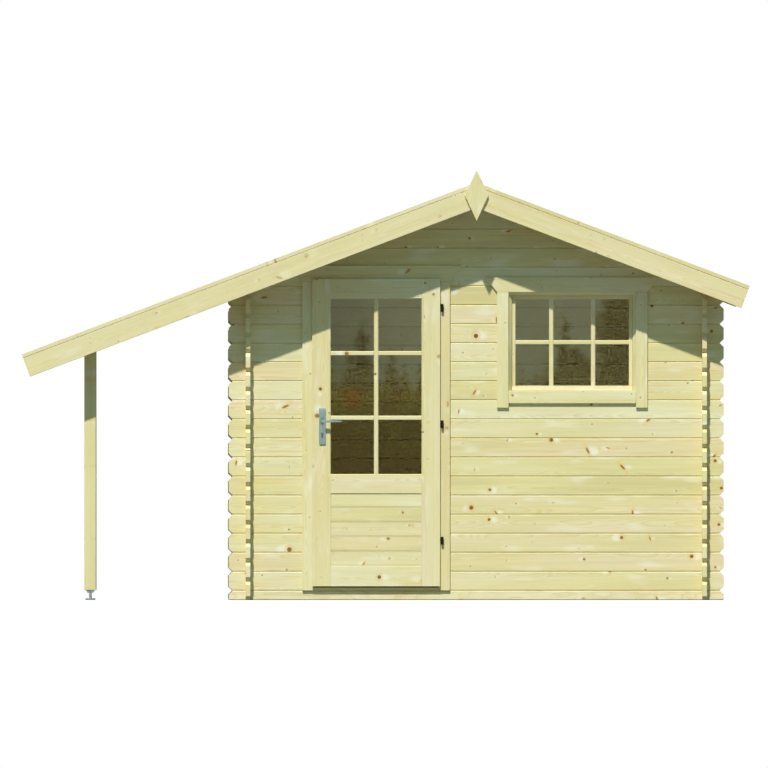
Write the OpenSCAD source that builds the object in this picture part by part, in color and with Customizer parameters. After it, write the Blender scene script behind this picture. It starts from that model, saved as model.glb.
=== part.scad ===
// Garden house of interlocking wooden logs, with a lean-to shelter on its left side.
// +X runs to the right along the front, +Y from the front to the back and +Z up.
// The origin lies on the ground under the ridge, midway from front to back.

/* [Walls] */
// Length of a log in the front and back walls
front_len = 3000; // [2900:10:4200]
// Length of a log in the side walls
side_len = 2500; // [1800:10:4200]
// Thickness of a log
wall_t = 28; // [22:1:45]
// Height of one course of logs
course = 115.4; // [95:0.1:140]
// Least height of the full courses in the front wall
wall_h = 1900; // [1880:5:2300]
// From the end of a front or back log to the centre of the wall that it crosses
log_end = 117; // [80:1:180]
// From the end of a side log to the centre of the wall that it crosses
side_log_end = 100; // [80:1:180]
// Chamfer at the corners of a log's end
end_chamfer = 24; // [5:1:30]
// Bevel along the edges of a log
log_bevel = 5; // [1:0.5:8]
// Gap between pieces that are fitted together
fit = 0.3; // [0.1:0.1:1]

/* [Roof] */
// Slope of the roof in degrees
pitch = 20.7; // [16:0.1:26]
// Underside of the roof over the last full course, at the centre of a side wall
eaves_rise = 74; // [60:1:110]
// Thickness of the roof boards
roof_t = 25; // [16:1:30]
// From the right log ends to the right edge of the roof
right_eaves = 153; // [80:1:400]
// From the face of the front wall to the face of the barge boards
verge = 300; // [200:5:600]
// Depth of the front barge boards across the slope
barge_h = 119; // [95:1:180]
// Thickness of the barge boards and eaves boards
board_t = 18; // [14:1:28]
// Depth of the eaves boards, and of the barge boards at the back, across the slope
eaves_h = 88; // [60:1:110]
// Width of a purlin
purlin_w = 44; // [34:1:70]
// Depth of the purlins halfway down each slope
purlin_h = 90; // [70:1:100]
// Depth of the ridge purlin
ridge_purlin_h = 115; // [80:1:125]
// Widest part of the finial
finial_w = 144; // [80:1:200]
// Height of the finial from tip to tip
finial_h = 307; // [200:1:400]
// From the top tip of the finial down to its widest part
finial_waist = 151; // [80:1:240]
// Top tip of the finial over the top of the roof
finial_rise = 73; // [20:1:120]
// Thickness of the finial
finial_t = 19; // [14:1:30]

/* [Lean-to] */
// From the centre of the left wall to the centre of the posts
lean_to_w = 957; // [600:1:1600]
// From the centre of the posts to the left edge of the roof
lean_to_eaves = 413; // [150:1:500]
// Side of a square post
post_w = 70; // [58:1:120]
// How far a post stands in front of the wall's face
post_proud = 36; // [0:1:100]
// Depth of the beam on the posts
beam_h = 95; // [70:1:110]
// Height of the metal feet
foot_h = 61; // [40:1:120]
// Side of a foot's ground plate
foot_plate = 57; // [50:1:100]
// Thickness of a foot's ground plate
foot_base_t = 10; // [5:1:12]
// Side of the plate under the post
foot_head = 50; // [34:1:58]
// Diameter of a foot's threaded stem
foot_stem = 13; // [10:1:24]
// Thickness of the plate under the post
foot_head_t = 5; // [3:0.5:8]
// Least diameter of the tapered collar under that plate
foot_collar = 30; // [24:1:36]
// Height of the collar
foot_collar_h = 12; // [8:1:20]

/* [Floor] */
// Thickness of the floor boards
floor_t = 19; // [15:1:28]
// Width of a floor bearer
bearer_w = 58; // [38:1:90]
// Number of floor bearers
bearers = 5; // [3:2:9]
// Gap round the edge of the floor
floor_gap = 2; // [1:0.5:10]

/* [Door] */
// From the centre of the left wall to the centre of the door
door_in = 776.5; // [600:0.5:900]
// Width of the clear opening between the jambs
door_clear_w = 755; // [600:1:860]
// Height of the clear opening over the ground
door_head_z = 1930; // [1800:1:1935]
// Thickness of the jambs and the head
jamb_t = 30; // [24:1:45]
// Depth of the door and window frames through the wall
frame_d = 70; // [58:1:100]
// Thickness of the threshold
threshold_t = 18; // [12:1:24]
// Width of the stop behind the door leaf
stop_w = 12; // [8:1:20]
// Gap round the leaf inside the frame
run_gap = 6; // [5:0.5:10]
// Gap between the threshold and the leaf
leaf_rise = 7.6; // [6:0.1:15]
// Gap between the leaf and its stop, and between hinge barrels and trim
swing_gap = 5; // [5:0.5:8]
// Overlap of the leaf on the side trims
lip_side = 10; // [8:1:20]
// Overlap of the leaf on the header trim
lip_top = 16.5; // [8:0.5:24]
// Thickness of the overlapping lip
lip_t = 14; // [10:0.5:16]
// Thickness of the leaf
leaf_t = 40; // [36:1:50]
// How far the leaf stands in front of the wall's face
leaf_proud = 36; // [34:1:45]
// Width of the leaf's stiles
stile_w = 112.5; // [90:0.5:140]
// Height of the leaf's top rail
top_rail = 121.2; // [90:0.1:160]
// Height of the rail under the glass
lock_rail = 117; // [90:1:160]
// Height of the bottom rail
bottom_rail = 119.4; // [90:0.1:200]
// Height of the boarded panel
panel_h = 443.6; // [300:0.1:600]
// Thickness of the boarded panel
panel_t = 20; // [12:1:24]
// From the leaf's face back to the face of the boarded panel
panel_set = 5; // [0:1:10]
// Thickness of the glass panes
glass_t = 4; // [3:0.5:8]
// How deep glass and panels sit in their grooves
groove = 8; // [5:1:12]

/* [Door fittings] */
// Width of a handle plate
plate_w = 40; // [30:1:50]
// Height of a handle plate
plate_h = 219; // [160:1:260]
// Thickness of a handle plate
plate_t = 8; // [4:0.5:10]
// Lower end of a handle plate over the ground
plate_z = 944; // [850:1:1000]
// Radius of a handle plate's corners
plate_r = 6; // [2:1:12]
// From the middle of the stile to the middle of the handle plates
plate_shift = 4.8; // [0:0.1:10]
// Height of the lever's axis
lever_z = 1083; // [1000:1:1130]
// Length of the lever from its axis
lever_len = 119; // [90:1:140]
// Height of the lever's bar at its neck
lever_h = 17; // [10:1:20]
// Height of the lever's bar at its tip
lever_tip_h = 8; // [6:1:16]
// Thickness of the lever's bar
lever_t = 11; // [8:1:16]
// From the plate to the lever's bar
lever_reach = 28; // [24:1:50]
// Diameter of the lever's neck
neck_d = 17; // [12:0.5:22]
// Side of the square spindle
spindle = 8; // [7:1:9]
// Diameter of the bore through the leaf for the spindle
spindle_bore = 16; // [14:1:20]
// From the leaf's lower edge up to the middle of the lowest hinge
hinge_end = 276; // [100:1:400]
// From the leaf's upper edge down to the middle of the highest hinge
hinge_top = 176; // [100:1:400]
// Diameter of a hinge barrel
barrel_d = 16; // [12:1:20]
// Height of a hinge's two barrels together
barrel_h = 48; // [40:1:100]
// From the edge of the leaf to the hinge axis
hinge_off = 13; // [12:0.5:16]
// Diameter of a hinge pin
pin_d = 8; // [6:0.5:10]
// From the middle of a hinge up to the end of its pin
pin_rise = 18; // [12:1:30]
// Step from a barrel's end to the edge of the hinge's foot
hinge_edge = 3; // [1:0.5:6]
// Running clearance of a pin in its bore
pin_gap = 0.05; // [0.02:0.01:0.1]

/* [Window] */
// From the centre of the right wall to the centre of the window
window_in = 801; // [700:1:900]
// Width of the window frame
window_w = 848; // [600:1:870]
// Width of the timbers of the window frame
window_frame_w = 58; // [45:1:70]
// Highest place for the foot of the window frame, which stands on a course of logs
window_low = 1213; // [1000:1:1240]
// Height of the window frame
window_h = 692; // [500:1:720]
// Width of the sash's stiles and top rail
sash_w = 22.3; // [18:0.1:50]
// Height of the sash's bottom rail
sash_bottom = 30; // [20:1:60]
// Thickness of the sash
sash_t = 36; // [28:1:45]
// Height of the weather bar's front edge
weather_edge = 6; // [3:1:12]
// From the top of the sash's bottom rail down to the top of the weather bar
weather_drop = 2; // [1:1:8]
// How far the weather bar stands out from the sash
weather_bar = 20; // [8:1:28]

/* [Trims] */
// Width of the trims round the door and the window
trim_w = 70; // [58:1:90]
// Thickness of the trims
trim_t = 16; // [12:0.5:17]
// Height of the header trim over the window
header_h = 91; // [70:1:110]
// Height of the header trim over the door
door_header_h = 97; // [70:1:120]
// How far a header's upper corner stands out past its lower corner
header_wing = 72; // [0:1:74]
// Window frame that shows inside the trims
frame_show = 20; // [5:1:30]
// Height of the window's lower trim
lower_trim_h = 76; // [50:1:100]
// From the window's lower trim up to the opening of the frame
trim_drop = 2; // [0:1:20]
// How far the window's side trims run on below its lower trim
trim_foot = 27; // [0:1:60]

/* [Hidden] */

$fn = 48;
WOOD = [0.87, 0.83, 0.60];
STEEL = [0.57, 0.64, 0.66];
DARK = [0.12, 0.11, 0.10];
GLASS = [0.33, 0.31, 0.22];

// Log courses: the front and back walls start with a half log, the sides with a whole one
half_course = course / 2;
quarter = course / 4;
rows = ceil((wall_h - half_course) / course);
front_top = half_course + rows * course;
corner_x = front_len / 2 - log_end;
corner_y = side_len / 2 - side_log_end;
front_y = corner_y + wall_t / 2;

// Roof: depths are taken square to the slope, from the top of the roof boards
eaves_z = front_top + eaves_rise;
ridge_under = eaves_z + corner_x * tan(pitch);
ridge_z = ridge_under + roof_t / cos(pitch);
verge_y = front_y + verge;
purlin_end = verge_y - board_t - fit;
post_x = -corner_x - lean_to_w;
post_y = front_y + post_proud - post_w / 2;
left_edge = -post_x + lean_to_eaves;
right_edge = front_len / 2 + right_eaves;
purlin_x = corner_x / 2;
top_row = floor((ridge_under - half_course - course / 2) / course);

// Floor, level with the top of the half log
floor_top = half_course - fit;
bearer_h = floor_top - floor_t - fit;
room_x = corner_x - wall_t / 2 - floor_gap;
room_y = corner_y - wall_t / 2 - floor_gap;

// Door: y runs from the wall's face, -front_y
door_x = -corner_x + door_in;
sill_z = half_course + fit;
leaf_z = sill_z + threshold_t + leaf_rise;
leaf_w = door_clear_w + 2 * lip_side;
leaf_h = door_head_z + lip_top - leaf_z;
leaf_y = -front_y - leaf_proud;
leaf_back = leaf_y + leaf_t;
body_w = door_clear_w - 2 * run_gap;
body_top = door_head_z - run_gap;
stop_y = leaf_back + swing_gap;
pane_w = leaf_w - 2 * stile_w;
panel_z = leaf_z + bottom_rail;
glass_z = panel_z + panel_h + lock_rail;
glass_h = door_head_z + lip_top - top_rail - glass_z;
door_hole_w = door_clear_w + 2 * jamb_t + 2 * fit;
door_hole_top = door_head_z + jamb_t + fit;
over_row = floor((door_hole_top - half_course) / course);
glass_y = leaf_y + leaf_t / 2;
lever_x = door_x - leaf_w / 2 + stile_w / 2 + plate_shift;
hinge_x = door_x + leaf_w / 2 + hinge_off;
hinge_y = -front_y - fit - trim_t - swing_gap - barrel_d / 2;
hinge_low = leaf_z + hinge_end;
hinge_high = leaf_z + leaf_h - hinge_top;
hinge_zs = [hinge_low, (hinge_low + hinge_high) / 2, hinge_high];

// Window
window_x = corner_x - window_in;
window_row = floor((window_low - half_course) / course);
window_z = half_course + window_row * course + fit;
window_hole_w = window_w + 2 * fit;
window_top = window_z + window_h;
sash_x = window_w / 2 - window_frame_w;
sash_z = window_z + window_frame_w;
sash_top = window_top - window_frame_w;
sash_y = -front_y + frame_d - sash_t;
light_x = sash_x - sash_w;
light_z = sash_z + sash_bottom;
light_top = sash_top - sash_w;

// Height of the roof's underside at x
function under(x) = ridge_under - abs(x) * tan(pitch);
// A point on a slope: s down the slope from the ridge, d square to it from the top
function slope_point(s, d) =
    [s * cos(pitch) - d * sin(pitch), ridge_z - s * sin(pitch) - d * cos(pitch)];
// A point near the ridge at depth d, where the two slopes are parted by the fit
function ridge_point(d) = [fit / 2, ridge_z - d / cos(pitch) - fit / 2 * tan(pitch)];

// A box from its lowest corner to its highest corner
module block(lo, hi) {
    translate(lo) cube(hi - lo);
}

// Space under the roof, with the fit left over what seats there
module under_roof() {
    far = left_edge + course;
    rotate([90, 0, 0]) linear_extrude(3 * side_len, center = true)
        polygon([[-far, -1], [far, -1], [far, under(far) - fit],
                 [0, ridge_under - fit], [-far, under(far) - fit]]);
}

// A beam along X of log section; an end with lo or hi set is free and chamfered, by foot at its lower corner
module log_bar(x0, x1, z0, z1, lo, hi, foot = end_chamfer) {
    b = log_bevel;
    t = wall_t / 2;
    c0 = lo ? end_chamfer : 0;
    c1 = hi ? end_chamfer : 0;
    intersection() {
        translate([x0, 0, 0]) rotate([90, 0, 90]) linear_extrude(x1 - x0)
            polygon([[-t, z0 + b], [b - t, z0], [t - b, z0], [t, z0 + b],
                     [t, z1 - b], [t - b, z1], [b - t, z1], [-t, z1 - b]]);
        rotate([90, 0, 0]) linear_extrude(2 * wall_t, center = true)
            polygon(concat(
                lo ? [[x0, z1 - c0], [x0, z0 + foot], [x0 + foot, z0]] : [[x0, z1], [x0, z0]],
                hi ? [[x1 - foot, z0], [x1, z0 + foot], [x1, z1 - c1], [x1 - c1, z1]]
                   : [[x1, z0], [x1, z1]],
                lo ? [[x0 + c0, z1]] : []));
    }
}

// A log with the corner at each crossing cut away below keep0 and above keep1
module notched_log(x0, x1, z0, z1, corner, keep0, keep1, foot = end_chamfer) {
    w = wall_t / 2 + fit;
    difference() {
        log_bar(x0, x1, z0, z1, x0 < -corner, x1 > corner, foot);
        for (x = [-corner, corner]) {
            if (x > x0 && x < x1) {
                if (keep0 > z0) block([x - w, -wall_t, z0 - 1], [x + w, wall_t, keep0]);
                if (keep1 < z1) block([x - w, -wall_t, keep1], [x + w, wall_t, z1 + 1]);
            }
        }
    }
}

// One course of a wall along X; row 0 stands on the half log
module front_log(row, x0 = -front_len / 2, x1 = front_len / 2) {
    z0 = half_course + row * course;
    z1 = row == top_row ? ridge_under : z0 + course - fit;
    keep1 = row < rows ? z0 + 3 * quarter - fit : z1;
    if (z1 < under(front_len / 2)) {
        notched_log(x0, x1, z0, z1, corner_x, z0 + quarter, keep1);
    } else {
        intersection() {
            notched_log(x0, x1, z0, z1, corner_x, z0 + quarter, keep1);
            under_roof();
        }
    }
}

// Slots for the three purlins through a gable
module purlin_slots() {
    for (x = [-purlin_x, 0, purlin_x]) {
        h = x == 0 ? ridge_purlin_h : purlin_h;
        block([x - purlin_w / 2 - fit, -wall_t, under(x) - h - fit],
              [x + purlin_w / 2 + fit, wall_t, under(x) + purlin_w]);
    }
}

// The openings that the door frame and the window frame fill
module front_holes() {
    block([door_x - door_hole_w / 2, -wall_t, half_course],
          [door_x + door_hole_w / 2, wall_t, door_hole_top]);
    block([window_x - window_hole_w / 2, -wall_t, window_z - fit],
          [window_x + window_hole_w / 2, wall_t, window_top + fit]);
}

// The logs of one wall along X, from one row to another
module front_logs(from, to, x0 = -front_len / 2, x1 = front_len / 2) {
    color(WOOD) translate([0, -corner_y, 0])
        for (row = [from:to]) front_log(row, x0, x1);
}

module side_wall(x) {
    color(WOOD)
        for (row = [0:rows]) {
            z0 = row * course;
            intersection() {
                translate([x, 0, 0]) rotate([0, 0, 90])
                    notched_log(-side_len / 2, side_len / 2, z0,
                                row < rows ? z0 + course - fit : eaves_z + wall_t,
                                corner_y, z0 + quarter, z0 + 3 * quarter - fit);
                under_roof();
            }
        }
}

module base_logs() {
    color(WOOD)
        for (y = [-corner_y, corner_y])
            translate([0, y, 0])
                notched_log(-front_len / 2, front_len / 2, 0, half_course - fit,
                            corner_x, 0, quarter - fit, log_bevel);
}

module front_wall_left() {
    front_logs(0, over_row - 1, x1 = door_x - door_hole_w / 2);
}

module front_wall_middle() {
    front_logs(window_row, over_row - 1, door_x + door_hole_w / 2,
               window_x - window_hole_w / 2);
}

module front_wall_right() {
    front_logs(window_row, over_row - 1, x0 = window_x + window_hole_w / 2);
}

module front_wall_lower() {
    front_logs(0, window_row - 1, x0 = door_x + door_hole_w / 2);
}

module front_gable() {
    color(WOOD) translate([0, -corner_y, 0])
        difference() {
            for (row = [over_row:top_row]) front_log(row);
            front_holes();
            purlin_slots();
        }
}

module back_wall() {
    mirror([0, 1, 0]) front_logs(0, over_row - 1);
}

module back_gable() {
    color(WOOD) translate([0, corner_y, 0])
        difference() {
            for (row = [over_row:top_row]) front_log(row);
            purlin_slots();
        }
}

module floor_bearers() {
    pitch_x = 2 * (room_x - bearer_w / 2) / (bearers - 1);
    color(WOOD)
        for (i = [0:bearers - 1]) {
            x = (i - (bearers - 1) / 2) * pitch_x;
            block([x - bearer_w / 2, -room_y, 0], [x + bearer_w / 2, room_y, bearer_h]);
        }
}

module floor() {
    color(WOOD)
        block([-room_x, -room_y, bearer_h + fit], [room_x, room_y, floor_top]);
}

// A timber along Y whose top is cut to the roof; depth h is taken at its centre
module roof_timber(x, w, h) {
    color(WOOD)
        intersection() {
            block([x - w / 2, -purlin_end, under(x) - h], [x + w / 2, purlin_end, under(x) + w]);
            under_roof();
        }
}

module posts() {
    color(WOOD)
        for (y = [-post_y, post_y])
            block([post_x - post_w / 2, y - post_w / 2, foot_h],
                  [post_x + post_w / 2, y + post_w / 2, under(post_x) - beam_h - fit]);
}

module square_plate(w, z, t) {
    translate([-w / 2, -w / 2, z]) cube([w, w, t]);
}

module post_feet() {
    head_z = foot_h - fit - foot_head_t;
    color("silver")
        for (y = [-post_y, post_y])
            translate([post_x, y, 0]) {
                square_plate(foot_plate, 0, foot_base_t);
                square_plate(foot_head, head_z, foot_head_t);
                translate([0, 0, foot_base_t / 2]) cylinder(d = foot_stem, h = head_z - foot_base_t / 2);
                translate([0, 0, head_z - foot_collar_h])
                    cylinder(d1 = foot_collar, d2 = foot_head - foot_head_t, h = foot_collar_h);
            }
}

// A band down one slope, from depth d0 to d1, that ends edge away from the ridge
module slope_band(edge, d0, d1, y0, y1) {
    s = edge / cos(pitch);
    translate([0, y1, 0]) rotate([90, 0, 0]) linear_extrude(y1 - y0)
        polygon([ridge_point(d0), slope_point(s, d0), slope_point(s, d1), ridge_point(d1)]);
}

module right_roof() {
    color(WOOD) slope_band(right_edge, 0, roof_t, -verge_y, verge_y);
}

module left_roof() {
    color(WOOD) mirror([1, 0, 0]) slope_band(left_edge, 0, roof_t, -verge_y, verge_y);
}

module barge_board(edge, h) {
    d = roof_t + fit;
    color(WOOD) slope_band(edge, d, d + h, -verge_y, board_t - verge_y);
}

// An eaves board closes the end of a slope between the barge boards
module eaves_board(edge) {
    s = edge / cos(pitch);
    d = roof_t + fit;
    translate([0, purlin_end, 0]) rotate([90, 0, 0]) linear_extrude(2 * purlin_end)
        polygon([slope_point(s, d), slope_point(s, d + eaves_h),
                 slope_point(s - board_t, d + eaves_h), slope_point(s - board_t, d)]);
}

module eaves_boards() {
    color(WOOD) {
        eaves_board(right_edge);
        mirror([1, 0, 0]) eaves_board(left_edge);
    }
}

module finial() {
    top = ridge_z + finial_rise;
    color(WOOD) translate([0, -verge_y - fit, 0]) rotate([90, 0, 0]) linear_extrude(finial_t)
        polygon([[0, top], [finial_w / 2, top - finial_waist], [0, top - finial_h],
                 [-finial_w / 2, top - finial_waist]]);
}

// Section of a jamb: x from the clear opening outwards, y from the wall's face inwards
module jamb_section() {
    back = stop_y + front_y;
    polygon([[0, 0], [jamb_t, 0], [jamb_t, frame_d], [-stop_w, frame_d], [-stop_w, back],
             [0, back]]);
}

module door_frame() {
    x = door_clear_w / 2;
    color(WOOD) translate([door_x, -front_y, 0]) {
        for (side = [0, 1])
            mirror([side, 0, 0])
                translate([x, 0, sill_z])
                    linear_extrude(door_head_z - sill_z - fit) jamb_section();
        translate([-x - jamb_t, 0, door_head_z]) rotate([90, 0, 90])
            linear_extrude(2 * (x + jamb_t))
                polygon([[0, 0], [frame_d, 0], [frame_d, jamb_t], [0, jamb_t]]);
        translate([fit + stop_w - x, stop_y + front_y, door_head_z - stop_w])
            cube([2 * (x - fit - stop_w), frame_d - stop_y - front_y, stop_w - fit]);
    }
}

module door_threshold() {
    x = door_clear_w / 2 - stop_w - fit;
    w = door_clear_w / 2 - fit;
    color(WOOD) translate([door_x, -front_y, sill_z]) {
        block([-x, -trim_t, 0], [x, frame_d, threshold_t]);
        block([-w, -trim_t, 0], [w, stop_y + front_y - fit, threshold_t]);
    }
}

// A header trim of height h with raking ends; w is its lower edge
module header(x, w, z, h) {
    translate([x, -front_y - fit, z]) rotate([90, 0, 0]) linear_extrude(trim_t)
        polygon([[-w / 2, 0], [w / 2, 0], [w / 2 + header_wing, h],
                 [-w / 2 - header_wing, h]]);
}

// A plain trim on the front of the wall
module trim(x0, z0, x1, z1) {
    block([x0, -front_y - fit - trim_t, z0], [x1, -front_y - fit, z1]);
}

module door_trims() {
    x = door_clear_w / 2;
    color(WOOD) {
        header(door_x, door_clear_w + 2 * trim_w, door_head_z, door_header_h);
        trim(door_x - x - trim_w, sill_z, door_x - x, door_head_z - fit);
        trim(door_x + x, sill_z, door_x + x + trim_w, door_head_z - fit);
    }
}

// A tongue or a groove round an opening in the leaf or the sash
module groove_ring(w, z0, z1, y, t, depth) {
    translate([-w / 2 - depth, y - t / 2, z0 - depth])
        cube([w + 2 * depth, t, z1 - z0 + 2 * depth]);
}

module door_leaf() {
    color(WOOD) difference() {
        translate([door_x, 0, 0]) difference() {
            union() {
                block([-leaf_w / 2, leaf_y, leaf_z], [leaf_w / 2, leaf_y + lip_t, leaf_z + leaf_h]);
                block([-body_w / 2, leaf_y, leaf_z], [body_w / 2, leaf_back, body_top]);
            }
            block([-pane_w / 2, leaf_y - 1, glass_z], [pane_w / 2, leaf_back + 1, glass_z + glass_h]);
            block([-pane_w / 2, leaf_y - 1, panel_z], [pane_w / 2, leaf_back + 1, panel_z + panel_h]);
            groove_ring(pane_w, glass_z, glass_z + glass_h, glass_y, glass_t + 2 * fit, groove);
            groove_ring(pane_w, panel_z, panel_z + panel_h, glass_y, glass_t + 2 * fit, groove);
        }
        translate([lever_x, leaf_y - 1, lever_z]) rotate([-90, 0, 0])
            cylinder(d = spindle_bore, h = leaf_t + 2);
    }
}

module door_panel() {
    color(WOOD) translate([door_x, 0, 0]) {
        block([fit - pane_w / 2, leaf_y + panel_set, panel_z + fit],
              [pane_w / 2 - fit, leaf_y + panel_set + panel_t, panel_z + panel_h - fit]);
        groove_ring(pane_w, panel_z, panel_z + panel_h, glass_y, glass_t, groove - fit);
    }
}

module door_glass() {
    color(GLASS) translate([door_x, 0, 0])
        groove_ring(pane_w, glass_z, glass_z + glass_h, glass_y, glass_t, groove - fit);
}

// A handle plate with rounded corners and the bore for the lever's neck
module handle_plate(y) {
    r = plate_r;
    translate([lever_x, y, plate_z]) rotate([90, 0, 0]) difference() {
        linear_extrude(plate_t) {
            translate([-plate_w / 2 + r, 0]) square([plate_w - 2 * r, plate_h]);
            translate([-plate_w / 2, r]) square([plate_w, plate_h - 2 * r]);
            for (x = [r - plate_w / 2, plate_w / 2 - r])
                for (z = [r, plate_h - r])
                    translate([x, z]) circle(r);
        }
        translate([0, lever_z - plate_z, -1]) cylinder(d = neck_d + 2 * pin_gap, h = plate_t + 2);
    }
}

module handle_plates() {
    color(STEEL) {
        handle_plate(leaf_y);
        handle_plate(leaf_back + plate_t);
    }
}

// Neck and bar of the lever on one face of the leaf, drawn towards -Y from y = 0
module lever_half() {
    reach = plate_t + lever_reach;
    tip = lever_len - lever_tip_h / 2;
    rotate([90, 0, 0]) {
        cylinder(d = neck_d, h = reach + lever_t / 2);
        translate([0, 0, reach]) linear_extrude(lever_t) {
            circle(d = lever_h);
            polygon([[0, -lever_h / 2], [tip, -lever_tip_h / 2], [tip, lever_tip_h / 2],
                     [0, lever_h / 2]]);
            translate([tip, 0]) circle(d = lever_tip_h);
        }
    }
}

module door_lever() {
    color(STEEL) translate([lever_x, 0, lever_z]) {
        translate([0, leaf_y, 0]) lever_half();
        translate([0, leaf_back, 0]) mirror([0, 1, 0]) lever_half();
        block([-spindle / 2, leaf_y - 1, -spindle / 2], [spindle / 2, leaf_back + 1, spindle / 2]);
    }
}

// Lower half of each hinge: barrel, pin and the foot that is screwed to the trim
module hinge_frame_halves() {
    h = barrel_h / 2;
    color(DARK)
        for (z = hinge_zs)
            translate([hinge_x, hinge_y, z]) {
                translate([0, 0, -h]) cylinder(d = barrel_d, h = h - fit / 2);
                translate([0, 0, -pin_rise / 2]) cylinder(d = pin_d, h = 1.5 * pin_rise);
                block([-pin_d / 2, 0, hinge_edge - h],
                      [pin_d, barrel_d / 2 + swing_gap, -hinge_edge]);
            }
}

// Upper half of each hinge: barrel, bore and the plate that is screwed to the leaf's edge
module hinge_leaf_halves() {
    h = barrel_h / 2;
    color(DARK)
        for (z = hinge_zs)
            translate([hinge_x, hinge_y, z]) difference() {
                union() {
                    translate([0, 0, fit / 2]) cylinder(d = barrel_d, h = h - fit / 2);
                    block([-hinge_off, hinge_edge - barrel_d / 2, hinge_edge],
                          [0, 0, h - hinge_edge]);
                }
                translate([0, 0, -1]) cylinder(d = pin_d + 2 * pin_gap, h = pin_rise + 2);
            }
}

// The slopes at both sides and the top of the frame's opening, which meet in a mitre
module window_bevel() {
    deep = min(frame_show, frame_d - sash_t - fit);
    intersection() {
        translate([0, -front_y, sash_z]) linear_extrude(2 * window_h)
            polygon([[-sash_x - deep, 0], [-sash_x - deep, -1], [sash_x + deep, -1], [sash_x + deep, 0],
                     [sash_x, deep], [-sash_x, deep]]);
        translate([-window_w, -front_y, sash_z]) rotate([90, 0, 90]) linear_extrude(2 * window_w)
            polygon([[-1, 0], [deep, 0], [deep, sash_top - sash_z], [0, sash_top - sash_z + deep],
                     [-1, sash_top - sash_z + deep]]);
    }
}

module window_frame() {
    w = window_w / 2;
    back = -front_y + frame_d;
    color(WOOD) translate([window_x, 0, 0]) difference() {
        union() {
            for (side = [0, 1])
                mirror([side, 0, 0])
                    block([sash_x, -front_y, sash_z + fit], [w, back, sash_top - fit]);
            block([-w, -front_y, window_z], [w, back, sash_z]);
            block([-w, -front_y, sash_top], [w, back, window_top]);
        }
        window_bevel();
    }
}

module window_sash() {
    x = sash_x - fit;
    back = sash_y + sash_t;
    color(WOOD) translate([window_x, 0, 0]) difference() {
        union() {
            for (side = [0, 1])
                mirror([side, 0, 0])
                    block([light_x, sash_y, light_z + fit], [x, back, light_top - fit]);
            block([-x, sash_y, sash_z + fit], [x, back, light_z]);
            block([-x, sash_y, light_top], [x, back, sash_top - fit]);
        }
        groove_ring(2 * light_x, light_z, light_top, sash_y + sash_t / 2, glass_t + 2 * fit, groove);
    }
}

module window_glass() {
    color(GLASS) translate([window_x, 0, 0])
        groove_ring(2 * light_x, light_z, light_top, sash_y + sash_t / 2, glass_t, groove - fit);
}

// A bar across the foot of the sash whose sloping top throws the rain off
module window_weather_bar() {
    x = sash_x - fit;
    color(WOOD) translate([window_x - x, sash_y - fit, sash_z + fit]) rotate([90, 0, 90])
        linear_extrude(2 * x)
            polygon([[0, 0], [0, sash_bottom - weather_drop], [-weather_bar, weather_edge],
                     [-weather_bar, 0]]);
}

module window_trims() {
    x = window_w / 2 - window_frame_w + frame_show;
    lower = sash_z - trim_drop;
    foot = lower - lower_trim_h - trim_foot;
    head = sash_top + frame_show;
    color(WOOD) {
        header(window_x, 2 * (x + trim_w), head, header_h);
        trim(window_x - x - trim_w, foot, window_x - x, head - fit);
        trim(window_x + x, foot, window_x + x + trim_w, head - fit);
        trim(window_x - x + fit, lower - lower_trim_h, window_x + x - fit, lower);
    }
}

base_logs();
front_wall_left();
front_wall_middle();
front_wall_right();
front_wall_lower();
front_gable();
back_wall();
back_gable();
side_wall(-corner_x);  // left_wall
side_wall(corner_x);  // right_wall
floor_bearers();
floor();
roof_timber(0, purlin_w, ridge_purlin_h);  // ridge_purlin
roof_timber(-purlin_x, purlin_w, purlin_h);  // left_purlin
roof_timber(purlin_x, purlin_w, purlin_h);  // right_purlin
roof_timber(post_x, post_w, beam_h);  // lean_to_beam
posts();
post_feet();
left_roof();
right_roof();
mirror([1, 0, 0]) barge_board(left_edge, barge_h);  // front_left_barge_board
barge_board(right_edge, barge_h);  // front_right_barge_board
rotate([0, 0, 180]) barge_board(left_edge, eaves_h);  // back_left_barge_board
mirror([0, 1, 0]) barge_board(right_edge, eaves_h);  // back_right_barge_board
eaves_boards();
finial();
door_frame();
door_threshold();
door_trims();
door_leaf();
door_panel();
door_glass();
handle_plates();
door_lever();
hinge_frame_halves();
hinge_leaf_halves();
window_frame();
window_sash();
window_glass();
window_weather_bar();
window_trims();
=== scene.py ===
"""Looks of a garden house of interlocking pine logs with a lean-to shelter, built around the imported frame."""
import logging
import math
from collections.abc import Mapping, Sequence
from dataclasses import dataclass
from enum import Enum
from typing import Any

import bmesh
import bpy
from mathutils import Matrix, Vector


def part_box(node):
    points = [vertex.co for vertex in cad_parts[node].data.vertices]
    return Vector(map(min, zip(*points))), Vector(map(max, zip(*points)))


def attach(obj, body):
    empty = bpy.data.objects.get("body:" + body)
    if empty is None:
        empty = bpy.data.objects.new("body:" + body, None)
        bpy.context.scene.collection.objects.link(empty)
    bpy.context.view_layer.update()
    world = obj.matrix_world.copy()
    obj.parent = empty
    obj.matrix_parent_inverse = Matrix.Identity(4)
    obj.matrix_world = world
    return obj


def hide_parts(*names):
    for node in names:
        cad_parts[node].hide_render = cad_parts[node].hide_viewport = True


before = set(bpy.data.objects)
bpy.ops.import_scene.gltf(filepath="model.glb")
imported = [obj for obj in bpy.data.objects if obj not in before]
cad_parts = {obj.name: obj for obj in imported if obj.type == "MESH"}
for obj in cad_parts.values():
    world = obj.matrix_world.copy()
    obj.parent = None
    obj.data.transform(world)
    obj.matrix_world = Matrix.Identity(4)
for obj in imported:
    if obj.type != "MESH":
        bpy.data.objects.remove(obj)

LOG = logging.getLogger("garden_house")
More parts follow.
